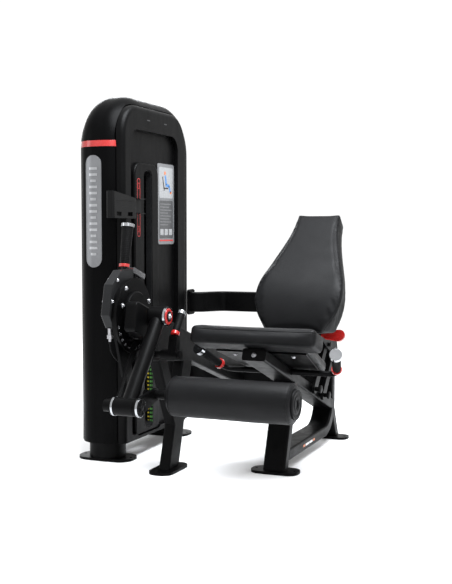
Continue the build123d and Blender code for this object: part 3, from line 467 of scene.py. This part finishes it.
def add_tube(bm, points, radius, sides=8):
    """Adds a round welt along a closed chain of points."""
    count = len(points)
    rings = []
    for k, point in enumerate(points):
        along = (points[(k + 1) % count] - points[k - 1]).normalized()
        side = along.cross(Z_AXIS if abs(along.z) < 0.9 else X_AXIS).normalized()
        up = side.cross(along)
        ring = []
        for j in range(sides):
            turn = 2 * math.pi * j / sides
            ring.append(bm.verts.new(point + radius * (math.cos(turn) * side + math.sin(turn) * up)))
        rings.append(ring)
    for low, high in zip(rings, rings[1:] + rings[:1]):
        for j in range(sides):
            after = (j + 1) % sides
            bm.faces.new((low[j], low[after], high[after], high[j]))


def axis_point(joint):
    return Vector(joints[joint]["pos_m"])


def middle(node):
    low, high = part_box(node)
    return (low + high) / 2


# ---- cushions ----
def cad_copy(node, name, shrink):
    """Copy of a CAD cushion, pulled in a little along its normals, as the start of the real one."""
    mesh = cad_nodes[node].data.copy()
    mesh.name = name
    bm = bmesh.new()
    bm.from_mesh(mesh)
    bmesh.ops.remove_doubles(bm, verts=bm.verts, dist=1e-5)
    bm.normal_update()
    bmesh.ops.recalc_face_normals(bm, faces=bm.faces)
    bm.to_mesh(mesh)
    bm.free()
    obj = bpy.data.objects.new(name, mesh)
    bpy.context.scene.collection.objects.link(obj)
    remesh(obj, COVER_VOXEL)
    mesh = obj.data
    points = [v.co - shrink * v.normal for v in mesh.vertices]
    for vertex, point in zip(mesh.vertices, points):
        vertex.co = point
    return obj


def apply_modifiers(obj):
    graph = bpy.context.evaluated_depsgraph_get()
    mesh = bpy.data.meshes.new_from_object(obj.evaluated_get(graph))
    obj.modifiers.clear()
    obj.data = mesh


def remesh(obj, voxel):
    modifier = obj.modifiers.new("remesh", "REMESH")
    modifier.mode = "VOXEL"
    modifier.voxel_size = voxel
    apply_modifiers(obj)


def smooth(obj, factor, times):
    modifier = obj.modifiers.new("smooth", "SMOOTH")
    modifier.factor = factor
    modifier.iterations = times
    apply_modifiers(obj)


def inflate(obj, pressure, most, held):
    """Cloth simulation of the cover over its foam. held tells which points are fixed to the board."""
    scene = bpy.context.scene
    rest = [v.co.copy() for v in obj.data.vertices]
    group = obj.vertex_groups.new(name="board")
    group.add([v.index for v in obj.data.vertices if held(v.co)], 1.0, "REPLACE")
    cloth = obj.modifiers.new("cloth", "CLOTH")
    cloth.settings.use_pressure = True
    cloth.settings.uniform_pressure_force = pressure
    cloth.settings.effector_weights.gravity = 0.0
    cloth.settings.vertex_group_mass = "board"
    cloth.settings.quality = 4
    cloth.settings.tension_stiffness = 30
    cloth.settings.compression_stiffness = 12
    cloth.settings.bending_stiffness = 1.5
    cloth.point_cache.frame_start = 1
    cloth.point_cache.frame_end = CLOTH_FRAMES
    for number in range(1, CLOTH_FRAMES + 1):
        scene.frame_set(number)
    graph = bpy.context.evaluated_depsgraph_get()
    moved = [v.co.copy() for v in obj.evaluated_get(graph).data.vertices]
    obj.modifiers.clear()
    obj.vertex_groups.clear()
    scene.frame_set(1)
    for vertex, start, end in zip(obj.data.vertices, rest, moved):
        step = end - start
        if step.length > most:
            step = step.normalized() * most
        vertex.co = start + step


def mesh_tree(mesh):
    """Search tree of all faces of a mesh."""
    points = [v.co.copy() for v in mesh.vertices]
    return BVHTree.FromPolygons(points, [tuple(p.vertices) for p in mesh.polygons])


def surface_tree(node, faces):
    """Search tree of some faces of a CAD node, chosen by their normals."""
    mesh = cad_nodes[node].data
    points = [v.co.copy() for v in mesh.vertices]
    chosen = [tuple(p.vertices) for p in mesh.polygons if faces(p.normal)]
    return BVHTree.FromPolygons(points, chosen)


def contour(mesh, value, level):
    """Closed chains of points where a value, given for each vertex, passes a level on the mesh."""
    bm = bmesh.new()
    bm.from_mesh(mesh)
    bm.verts.ensure_lookup_table()
    values = [value(v.co) - level for v in bm.verts]
    cuts = {}
    for edge in bm.edges:
        a, b = edge.verts
        if values[a.index] * values[b.index] < 0:
            share = values[a.index] / (values[a.index] - values[b.index])
            cuts[edge.index] = a.co.lerp(b.co, share)
    links = {}
    for face in bm.faces:
        crossed = [e.index for e in face.edges if e.index in cuts]
        if len(crossed) == 2:
            links.setdefault(crossed[0], []).append(crossed[1])
            links.setdefault(crossed[1], []).append(crossed[0])
    bm.free()
    chains = []
    left = set(links)
    while left:
        current = min(left)
        chain = []
        while current is not None:
            left.discard(current)
            chain.append(cuts[current])
            current = next((n for n in links[current] if n in left), None)
        if len(chain) > 20:
            chains.append(chain)
    return chains


def even(chain, spacing, rounds=6):
    """The same closed chain, smoothed and divided evenly."""
    points = [p.copy() for p in chain]
    size = len(points)
    for _ in range(rounds):
        points = [(points[k - 1] + points[k] * 2 + points[(k + 1) % size]) / 4 for k in range(size)]
    lengths = [(points[(k + 1) % size] - p).length for k, p in enumerate(points)]
    total = sum(lengths)
    count = max(12, round(total / spacing))
    result = []
    k = 0
    covered = 0.0
    for number in range(count):
        target = total * number / count
        while covered + lengths[k] < target:
            covered += lengths[k]
            k += 1
        share = (target - covered) / max(lengths[k], 1e-9)
        result.append(points[k].lerp(points[(k + 1) % size], share))
    return result


def seam(name, cushion, value, level, body):
    """Piping along a contour of a cushion, and a row of stitches just below it."""
    bm = bmesh.new()
    for chain in contour(cushion.data, value, level):
        add_tube(bm, even(chain, 0.006), WELT_RADIUS)
    piece(name, mesh_from(name, bm), "piping", body)
    bm = bmesh.new()
    tree = mesh_tree(cushion.data)
    for chain in contour(cushion.data, value, level + 0.0065):
        dots = even(chain, 0.0055)
        for k, dot in enumerate(dots):
            ahead = (dots[(k + 1) % len(dots)] - dots[k - 1]).normalized()
            _, normal, _, _ = tree.find_nearest(dot)
            side = normal.cross(ahead).normalized()
            add_box(bm, dot + normal * 0.0001, (0.0034, 0.0009, 0.0009), (ahead, side, normal), 0.0002)
    piece(name + "_stitches", mesh_from(name + "_stitches", bm), "thread", body, False)


def finish_cushion(obj, node, body):
    modifier = obj.modifiers.new("soft", "SUBSURF")
    modifier.levels = 1
    modifier.render_levels = 1
    apply_modifiers(obj)
    mesh = obj.data
    mesh.materials.clear()
    mesh.materials.append(MATERIALS["vinyl"])
    mesh.polygons.foreach_set("use_smooth", [True] * len(mesh.polygons))
    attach(obj, body)
    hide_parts(node)


def make_seat_cushion():
    """Seat: one foam block under a fat front roll, flat where it rests on its pan."""
    up = Vector((0, math.sin(SEAT_SLOPE), math.cos(SEAT_SLOPE)))
    pan_top = max(v.co.dot(up) for v in cad_nodes["seat_pan"].data.vertices)
    obj = cad_copy("seat_pad", "seat_cushion", 0.002)
    inflate(obj, 3.0, 0.005, lambda p: p.dot(up) < pan_top + 0.004)
    smooth(obj, 0.5, 8)
    finish_cushion(obj, "seat_pad", "frame")
    top = surface_tree("seat_pad", lambda n: n.dot(up) > 0.97)

    def below_top(point):
        return top.find_nearest(point)[3] if point.dot(up) > pan_top - 0.02 else 1.0

    seam("seat_welt", obj, below_top, 0.019, "frame")


def make_back_cushion():
    """Back: pin-shaped panel with a rounded band round its flat, curved face."""
    facing = Vector((0, -math.cos(math.radians(35)), math.sin(math.radians(35))))
    obj = cad_copy("back_pad", "back_cushion", 0.002)
    behind = surface_tree("back_pad", lambda n: n.dot(facing) < -0.6)
    front = surface_tree("back_pad", lambda n: n.dot(facing) > 0.6)
    smooth(obj, 0.5, 14)
    inflate(obj, 2.5, 0.005, lambda p: behind.find_nearest(p)[3] < 0.02)
    smooth(obj, 0.5, 10)
    finish_cushion(obj, "back_pad", "back_carriage")
    seam("back_welt", obj, lambda p: front.find_nearest(p)[3], 0.016, "back_carriage")


def make_roller_cushion():
    """Shin roller: foam sleeve in a vinyl cover, drawn in over its end discs."""
    low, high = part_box("roller_pad")
    centre = axis_point("roller_spin")
    radius = (high.z - low.z) / 2
    length = high.x - low.x
    corner = 0.019
    bm = bmesh.new()
    end = [(0.028, 0.004), (0.05, 0.0015), (0.06, 0.0)]
    for k in range(9):
        turn = math.pi / 2 * k / 8
        end.append((radius - corner * (1 - math.sin(turn)), corner * (1 - math.cos(turn))))
    profile = list(end)
    steps = 40
    for k in range(1, steps):
        share = k / steps
        profile.append((radius + 0.0008 * math.sin(math.pi * share), corner + (length - 2 * corner) * share))
    profile += [(r, length - h) for r, h in reversed(end)]
    add_lathe(bm, profile, at((low.x, centre.y, centre.z), X_AXIS), 96)
    open_rims = [e for e in bm.edges if len(e.link_faces) == 1]
    bmesh.ops.bridge_loops(bm, edges=open_rims)
    for vertex in bm.verts:
        from_end = min(vertex.co.x - low.x, high.x - vertex.co.x)
        out = Vector((0, vertex.co.y - centre.y, vertex.co.z - centre.z))
        if out.length > 0.05:
            turn = math.atan2(out.z, out.y)
            gather = 0.0007 * math.sin(turn * 26) * math.exp(-from_end / 0.02)
            spot = Vector((vertex.co.x * 6, math.cos(turn) * 1.5, math.sin(turn) * 1.5))
            drift = 0.0012 * noise.noise(spot)
            vertex.co += out.normalized() * (gather + drift - 0.0008)
    obj = bpy.data.objects.new("roller_cushion", mesh_from("roller_cushion", bm))
    bpy.context.scene.collection.objects.link(obj)
    finish_cushion(obj, "roller_pad", "roller")
    bm = bmesh.new()
    for x in (low.x + 0.012, high.x - 0.012):
        ring = [Vector((x, centre.y + (radius - 0.0012) * math.cos(2 * math.pi * k / 120),
                        centre.z + (radius - 0.0012) * math.sin(2 * math.pi * k / 120))) for k in range(120)]
        add_tube(bm, ring, WELT_RADIUS)
    piece("roller_welts", mesh_from("roller_welts", bm), "piping", "roller")


# ---- trim ----
def make_roller_cap():
    """Stepped disc with a light rim that closes each end of the roller."""
    low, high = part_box("roller_spool")
    centre = axis_point("roller_spin")
    caps = bmesh.new()
    rims = bmesh.new()
    disc = [(0.02, 0), (0.055, 0), (0.055, 0.0015), (0.046, 0.0028), (0.044, 0.0012), (0.034, 0.0012),
            (0.033, 0.0025), (0.024, 0.0025), (0.02, 0)]
    rim = [(0.055, 0), (0.0595, 0), (0.0595, 0.001), (0.0575, 0.0026), (0.0555, 0.0018), (0.055, 0)]
    for x, way in ((low.x, -1), (high.x, 1)):
        place = at((x, centre.y, centre.z), X_AXIS * way)
        add_lathe(caps, disc, place, 64)
        add_lathe(rims, rim, place, 64)
    piece("roller_end_discs", mesh_from("roller_end_discs", caps), "rubber", "roller")
    piece("roller_end_rims", mesh_from("roller_end_rims", rims), "liner", "roller")


def drawn(x, y, z):
    """Packed place of a point of the drawing, given in mm. The knee joint ties the drawing to the model."""
    return axis_point("knee_arm") + (Vector((x, y, z)) - DRAWN_KNEE) / 1000


def on_beam(x, distance, height):
    """Point at a distance back along the sloping seat beam and a height square to its middle line, in mm."""
    y = BEAM_FRONT_Y + distance * math.cos(SEAT_SLOPE) + height * math.sin(SEAT_SLOPE)
    z = BEAM_FRONT_Z - distance * math.sin(SEAT_SLOPE) + height * math.cos(SEAT_SLOPE)
    return drawn(x, y, z)


def side_place(point):
    """Drawing plane that faces +X: its own X runs backwards and its own Y runs up."""
    turn = Matrix((Y_AXIS, Z_AXIS, X_AXIS)).transposed().to_4x4()
    return Matrix.Translation(Vector(point)) @ turn


def two_tone(node, look, height):
    """Gives the part of a CAD node below a height a second material."""
    mesh = cad_nodes[node].data
    mesh.materials.append(MATERIALS[look])
    for polygon in mesh.polygons:
        if polygon.center.z < height:
            polygon.material_index = 1


def make_hub():
    """Dark centre of the red hub cap, and the spoked cap on the lower bearing."""
    knee = axis_point("knee_arm")
    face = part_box("hub_cap")[1].x
    bm = bmesh.new()
    profile = [(0, 0), (0.0225, 0), (0.0225, 0.0012), (0.02, 0.0022), (0, 0.0022)]
    add_lathe(bm, profile, at((face, knee.y, knee.z), X_AXIS), 48)
    piece("hub_disc", mesh_from("hub_disc", bm), "tab", "knee_arm")
    bearing = axis_point("roller_link")
    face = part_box("link_ring")[1].x
    place = at((face, bearing.y, bearing.z), X_AXIS)
    bm = bmesh.new()
    dish = [(0, 0), (0.035, 0), (0.035, 0.0016), (0.032, 0.003), (0.029, 0.0012), (0, 0.0012)]
    add_lathe(bm, dish, place, 64)
    add_lathe(bm, [(0, 0.001), (0.011, 0.001), (0.011, 0.004), (0.009, 0.0055), (0, 0.0055)], place, 32)
    for k in range(5):
        turn = math.radians(90 + 72 * k)
        along = Vector((0, math.cos(turn), math.sin(turn)))
        centre = Vector((face + 0.0025, bearing.y, bearing.z)) + along * 0.019
        add_box(bm, centre, (0.022, 0.006, 0.003), (along, X_AXIS.cross(along), X_AXIS), 0.0008)
    piece("bearing_cap", mesh_from("bearing_cap", bm), "tab", "roller_link")


def make_pivot_caps():
    """Black domed discs on the link arms' lower pins and upper pins."""
    pins = {"frame": [], "front_link": [], "rear_link": []}
    reach = axis_point("back_carriage") - axis_point("back_front_link")
    for joint, link in (("back_front_link", "front_link"), ("back_rear_link", "rear_link")):
        pivot = axis_point(joint)
        pins["frame"].append((pivot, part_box("seat_frame"), 0.0185))
        pins[link].append((pivot + reach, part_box(link), 0.0135))
    for body, places in pins.items():
        bm = bmesh.new()
        for pivot, (low, high), radius in places:
            add_lathe(bm, dome_profile(radius, 0.006), at((high.x, pivot.y, pivot.z), X_AXIS), 40)
            add_lathe(bm, dome_profile(radius, 0.006), at((low.x, pivot.y, pivot.z), -X_AXIS), 40)
        name = body + "_pivot_caps"
        piece(name, mesh_from(name, bm), "tab", body)


def make_bolts():
    """Button-head bolts. Bright: hub, index disc, lower bearing, lever housing, seat pan and the beam's end.
    Black: flanges of the cross tubes."""
    forward = Vector((0, -math.cos(SEAT_SLOPE), math.sin(SEAT_SLOPE)))
    under = Vector((0, -math.sin(SEAT_SLOPE), -math.cos(SEAT_SLOPE)))
    knee = axis_point("knee_arm")
    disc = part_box("rom_disc")[1].x
    housing_low, housing_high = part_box("crescent_housing")
    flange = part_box("cross_tubes")
    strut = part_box("arm_strut")[0].x
    bearing = axis_point("roller_link")
    sets = {"knee_arm": [((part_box("hub_cap")[1].x + 0.0022, knee.y, knee.z), X_AXIS, 0.0095, 0.007)],
            "range_lever": [], "frame": []}
    black = bmesh.new()
    for y, z in ((-431, 816), (-461, 747), (-228, 752)):
        point = drawn(0, y, z)
        sets["knee_arm"].append(((disc, point.y, point.z), X_AXIS, 0.0085, 0.0075))
    sets["knee_arm"].append(((strut + 0.016, bearing.y, bearing.z), -X_AXIS, 0.0085, 0.0075))
    for y, z in ((-452, 850), (-497, 765), (-488, 700)):
        point = drawn(0, y, z)
        sets["range_lever"].append(((housing_low.x, point.y, point.z), -X_AXIS, 0.007, 0.005))
        sets["range_lever"].append(((housing_high.x, point.y, point.z), X_AXIS, 0.007, 0.005))
    for z in (310, 690):
        for shift_y in (-27, 27):
            for shift_z in (-55, 55):
                point = drawn(0, 612 + shift_y, z + shift_z)
                add_socket_bolt(black, (flange[0].x + 0.008, point.y, point.z), X_AXIS, 0.006, 0.0055)
    piece("flange_bolts", mesh_from("flange_bolts", black), "tab", "frame")
    for x, distance in ((-130, 115), (130, 115), (-115, 380), (115, 380)):
        sets["frame"].append((on_beam(x, distance, 25.5), under, 0.0075, 0.0065))
    sets["frame"].append((on_beam(0, -5, 0), forward, 0.008, 0.006))
    for body, bolts in sets.items():
        bm = bmesh.new()
        for point, direction, radius, height in bolts:
            add_socket_bolt(bm, point, direction, radius, height)
        piece(body + "_bolts", mesh_from(body + "_bolts", bm), "zinc", body)


def make_index_holes():
    """Eyelets of the start positions, round the lower rim of the index disc."""
    knee = axis_point("knee_arm")
    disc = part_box("rom_disc")[1].x
    bm = bmesh.new()
    for k in range(9):
        turn = math.radians(196 + 13 * k)
        y = knee.y + INDEX_HOLE_RADIUS * math.cos(turn)
        z = knee.z + INDEX_HOLE_RADIUS * math.sin(turn)
        place = at((disc, y, z), X_AXIS)
        add_lathe(bm, [(0.0045, 0), (0.007, 0), (0.0066, 0.001), (0.005, 0.001), (0.0045, 0)], place, 28)
    piece("index_eyelets", mesh_from("index_eyelets", bm), "zinc", "knee_arm")


def make_grip_ribs():
    """Raised ribs round every rubber grip."""
    lever_foot, lever_end = drawn(-557, -345, 893), drawn(-557, -307, 1083)
    seat_foot, seat_end = drawn(-340, -306, 619), drawn(-340, -232, 710)
    grips = [("range_lever", lever_foot, lever_end, 0.13, 0.91, 0.019, 0.025),
             ("seat_lever", seat_foot, seat_end, 0.15, 0.85, 0.0145, 0.016)]
    for side in (-1, 1):
        foot, end = drawn(side * 304, -117, 537), drawn(side * 258, 62, 436)
        grips.append(("frame", foot, end, 0.03, 0.66, 0.02, 0.017))
    meshes = {}
    for body, foot, end, start, stop, first, last in grips:
        bm = meshes.setdefault(body, bmesh.new())
        run = end - foot
        count = round(run.length * (stop - start) / 0.0075)
        for k in range(count):
            share = start + (stop - start) * k / count
            radius = first + (last - first) * share - 0.001
            crest = radius + 0.0017
            profile = [(radius, 0), (crest, 0.0009), (crest, 0.0029), (radius, 0.0038), (radius, 0)]
            add_lathe(bm, profile, at(foot + run * share, run), 40)
    for body, bm in meshes.items():
        piece(body + "_grip_ribs", mesh_from(body + "_grip_ribs", bm), "rubber", body)


def make_nameplate_relief():
    """Plain raised bars down the tower's nameplate, laid on its curve."""
    low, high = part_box("nameplate")
    tree = mesh_tree(cad_nodes["nameplate"].data)
    middle_x = (low.x + high.x) / 2
    bm = bmesh.new()
    rows = 15
    for row in range(rows):
        z = low.z + 0.06 + (high.z - low.z - 0.12) * row / (rows - 1)
        width = 0.04 if row % 3 else 0.028
        for part in range(6):
            x = middle_x + width * ((part + 0.5) / 6 - 0.5)
            point, normal, _, _ = tree.ray_cast(Vector((x, low.y - 0.1, z)), Y_AXIS)
            if point is None:
                continue
            across = normal.cross(Z_AXIS).normalized()
            add_box(bm, point, (width / 6 + 0.0006, 0.011, 0.003), (across, normal.cross(across), normal))
    piece("nameplate_bars", mesh_from("nameplate_bars", bm), "relief", "frame", False)


def print_piece(name, bm, look, body="frame"):
    """New piece for a printed mark, with flat shading."""
    piece(name, mesh_from(name, bm), look, body, False)


def make_placard_print():
    """Generic adjustment placard: pale panel with a seated figure, then rows of bars."""
    centre = middle("placard")
    centre.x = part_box("placard")[1].x
    place = side_place(centre)
    inks = {}

    def bar(look, y, z, width, height, turn=0.0, layer=1, corner=0.0015):
        bm = inks.setdefault(look, bmesh.new())
        local = Matrix.Translation((y, z, 0)) @ Matrix.Rotation(math.radians(turn), 4, "Z")
        outline = rounded_rectangle(width, height, min(corner, width / 2.1, height / 2.1), 4)
        add_plate(bm, outline, 0.0003 * layer, place @ local)

    bar("card_light", 0, 0.105, 0.15, 0.15, corner=0.008)
    bar("card_grey", 0, -0.075, 0.15, 0.185, corner=0.008)
    bar("ink_orange", -0.012, 0.152, 0.017, 0.017, layer=2, corner=0.008)
    bar("ink_blue", -0.004, 0.118, 0.017, 0.046, 12, 2, 0.007)
    bar("ink_blue", 0.016, 0.092, 0.046, 0.015, -4, 2, 0.006)
    bar("ink_blue", 0.04, 0.075, 0.013, 0.036, 24, 2, 0.005)
    bar("ink_dark", -0.03, 0.1, 0.009, 0.07, 14, 2)
    bar("ink_dark", 0.0, 0.078, 0.05, 0.007, 0, 2)
    bar("ink_orange", 0.052, 0.058, 0.018, 0.013, 0, 2, 0.006)
    for row in range(8):
        width = (0.12, 0.1, 0.125, 0.085)[row % 4]
        bar("card", -0.066 + width / 2, 0.0 - row * 0.0145, width, 0.0042, 0, 2)
    for k in range(3):
        bar("card_light", -0.048 + 0.048 * k, -0.137, 0.036, 0.03, 0, 2, 0.004)
    bar("ink_red", 0, -0.178, 0.15, 0.007)
    for look, bm in inks.items():
        print_piece("placard_" + look, bm, look)


def make_window_marks():
    """Red outlines on the window frame's flank, and red, yellow and green squares beside the plates."""
    low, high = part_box("window_frame")
    bm = bmesh.new()
    pill = side_place((high.x, low.y + 0.0375, high.z - 0.21))
    add_frame(bm, 0.028, 0.27, 0.0138, 0.0024, FILM, pill)
    for k in range(2):
        place = pill @ Matrix.Translation((0, 0.1 - 0.2 * k, 0))
        add_frame(bm, 0.015, 0.028, 0.004, 0.0016, FILM, place)
    liner_low, liner_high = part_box("window_liner")
    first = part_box("resting_plates")[0].z + PLATE_MIDDLE
    greens = bmesh.new()
    yellows = bmesh.new()
    for k in range(PLATE_COUNT):
        z = first + PLATE_PITCH * k
        add_box(bm, (liner_low.x + 0.014, liner_low.y + 0.0052, z), (0.012, FILM, 0.0095))
        add_box(greens, (liner_low.x + 0.021, liner_high.y - 0.0052, z), (0.009, FILM, 0.0095))
        add_box(yellows, (liner_low.x + 0.008, liner_high.y - 0.0052, z), (0.009, FILM, 0.0065))
        add_box(bm, (liner_high.x + 0.0001, liner_low.y + 0.0025, z), (FILM, 0.004, 0.0095))
        add_box(greens, (liner_high.x + 0.0001, liner_high.y - 0.0025, z), (FILM, 0.004, 0.0095))
    print_piece("window_red_marks", bm, "ink_red")
    print_piece("window_yellow_marks", yellows, "ink_yellow")
    print_piece("window_green_marks", greens, "ink_green")


def number_mesh(text, height):
    """Flat mesh of a printed number, centred on its own origin."""
    curve = bpy.data.curves.new("number", "FONT")
    curve.body = text
    curve.size = height
    curve.align_x = "CENTER"
    curve.align_y = "CENTER"
    holder = bpy.data.objects.new("number", curve)
    bpy.context.scene.collection.objects.link(holder)
    graph = bpy.context.evaluated_depsgraph_get()
    mesh = bpy.data.meshes.new_from_object(holder.evaluated_get(graph))
    bpy.data.objects.remove(holder)
    return mesh


def make_plate_marks():
    """Number and yellow bar on the face of every weight plate."""
    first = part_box("resting_plates")[0].z + PLATE_MIDDLE
    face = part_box("resting_plates")[1].x
    window = middle("window_liner")
    kept = round((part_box("lifted_plates")[0].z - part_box("resting_plates")[0].z) / PLATE_PITCH)
    for body, numbers in (("frame", range(kept)), ("lifted_stack", range(kept, PLATE_COUNT))):
        whites = bmesh.new()
        yellows = bmesh.new()
        for k in numbers:
            z = first + PLATE_PITCH * k
            mesh = number_mesh(str(PLATE_COUNT - k), 0.0125)
            mesh.transform(side_place((face + 0.0003, window.y + 0.0165, z)))
            whites.from_mesh(mesh)
            add_box(yellows, (face + 0.0002, window.y + 0.034, z), (FILM, 0.016, 0.009))
        print_piece(body + "_plate_numbers", whites, "ink_white", body)
        print_piece(body + "_plate_bars", yellows, "ink_yellow", body)


def make_small_prints():
    """Strip of blank print on the base tube, and two dark film strips near the top of the side cover that
    paint the shade of its two slots.
    """
    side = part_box("seat_frame")
    tube = (side[0].x + side[1].x) / 2 + 0.051
    bars = {"ink_orange": bmesh.new(), "ink_white": bmesh.new()}
    strip = (("ink_orange", 250, 26), ("ink_white", 296, 50), ("ink_white", 352, 46), ("ink_orange", 398, 26))
    for look, y, width in strip:
        point = drawn(0, y, 70)
        add_box(bars[look], (tube + 0.0002, point.y, point.z), (FILM, width / 1000, 0.01))
    for look, bm in bars.items():
        print_piece("base_strip_" + look, bm, look)
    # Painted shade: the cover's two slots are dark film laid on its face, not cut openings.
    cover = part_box("side_cover")[1]
    bm = bmesh.new()
    for y in (150, 330):
        point = drawn(0, y, 1572)
        add_box(bm, (cover.x + 0.0001, point.y, point.z), (FILM, 0.03, 0.005))
    piece("cover_slot_shade", mesh_from("cover_slot_shade", bm), "ink_dark", "frame", False)


two_tone("hand_grip_ends", "red", drawn(0, 0, 490).z)
two_tone("range_lever_ends", "red", drawn(0, 0, 990).z)
two_tone("seat_lever_ends", "red", drawn(0, 0, 665).z)
make_seat_cushion()
make_back_cushion()
make_roller_cushion()
make_roller_cap()
make_hub()
make_pivot_caps()
make_bolts()
make_index_holes()
make_grip_ribs()
make_nameplate_relief()
make_placard_print()
make_window_marks()
make_plate_marks()
make_small_prints()


# ---- stage, light and camera ----
def make_stage():
    half = 9.0
    bm = bmesh.new()
    corners = [(-half, -half), (half, -half), (half, half), (-half, half)]
    bm.faces.new([bm.verts.new((x, y, 0.0)) for x, y in corners])
    mesh = mesh_from("studio_floor", bm)
    obj = bpy.data.objects.new("studio_floor", mesh)
    bpy.context.scene.collection.objects.link(obj)
    s = Shader("studio_paper")
    cloud = s.spread(s.noise(0.6, 3.0), 0.3, 0.7, 0.0, 1.0)
    paper = s.mix(cloud, rgb(0.95, 0.95, 0.95), rgb(0.96, 0.96, 0.96))
    mesh.materials.append(s.finish(paper, 0.9, s.bump(s.noise(300.0, 2.0), 0.0001, 0.2)))


def area_light(name, place, target, power, size, size_y=None):
    data = bpy.data.lights.new(name, "AREA")
    data.energy = power
    data.color = (0.93, 0.96, 1.0)
    data.shape = "RECTANGLE"
    data.size = size
    data.size_y = size_y or size
    obj = bpy.data.objects.new(name, data)
    bpy.context.scene.collection.objects.link(obj)
    obj.location = place
    obj.rotation_euler = (Vector(target) - Vector(place)).to_track_quat("-Z", "Y").to_euler()


def make_lights():
    world = bpy.data.worlds.new("studio")
    bpy.context.scene.world = world
    world.use_nodes = True
    background = world.node_tree.nodes["Background"]
    background.inputs["Color"].default_value = (1.0, 1.0, 1.0, 1.0)
    background.inputs["Strength"].default_value = 1.06
    area_light("overhead", (0.75, -0.5, 3.5), (0.3, -0.1, 0.5), 330.0, 2.0)
    area_light("left_wall", (-3.6, -2.6, 2.0), (-0.2, 0, 0.9), 30.0, 1.2, 2.6)
    area_light("rear_fill", (-2.6, 3.6, 2.6), (-0.2, 0, 0.8), 70.0, 1.6)
    area_light("front_fill", (2.6, -4.2, 2.4), (0, 0, 0.7), 15.0, 2.0)


def make_camera():
    data = bpy.data.cameras.new("camera")
    data.lens = 60.1
    data.sensor_width = 36.0
    data.clip_end = 60.0
    obj = bpy.data.objects.new("camera", data)
    bpy.context.scene.collection.objects.link(obj)
    pitch = math.radians(3.4)
    yaw = math.radians(22.5)
    obj.location = axis_point("knee_arm") + Vector((1.862, -3.617, 0.34))
    look = Vector((-math.sin(yaw) * math.cos(pitch), math.cos(yaw) * math.cos(pitch), -math.sin(pitch)))
    obj.rotation_euler = look.to_track_quat("-Z", "Y").to_euler()
    bpy.context.scene.camera = obj


make_stage()
make_lights()
make_camera()
bpy.context.scene.view_settings.view_transform = "Standard"
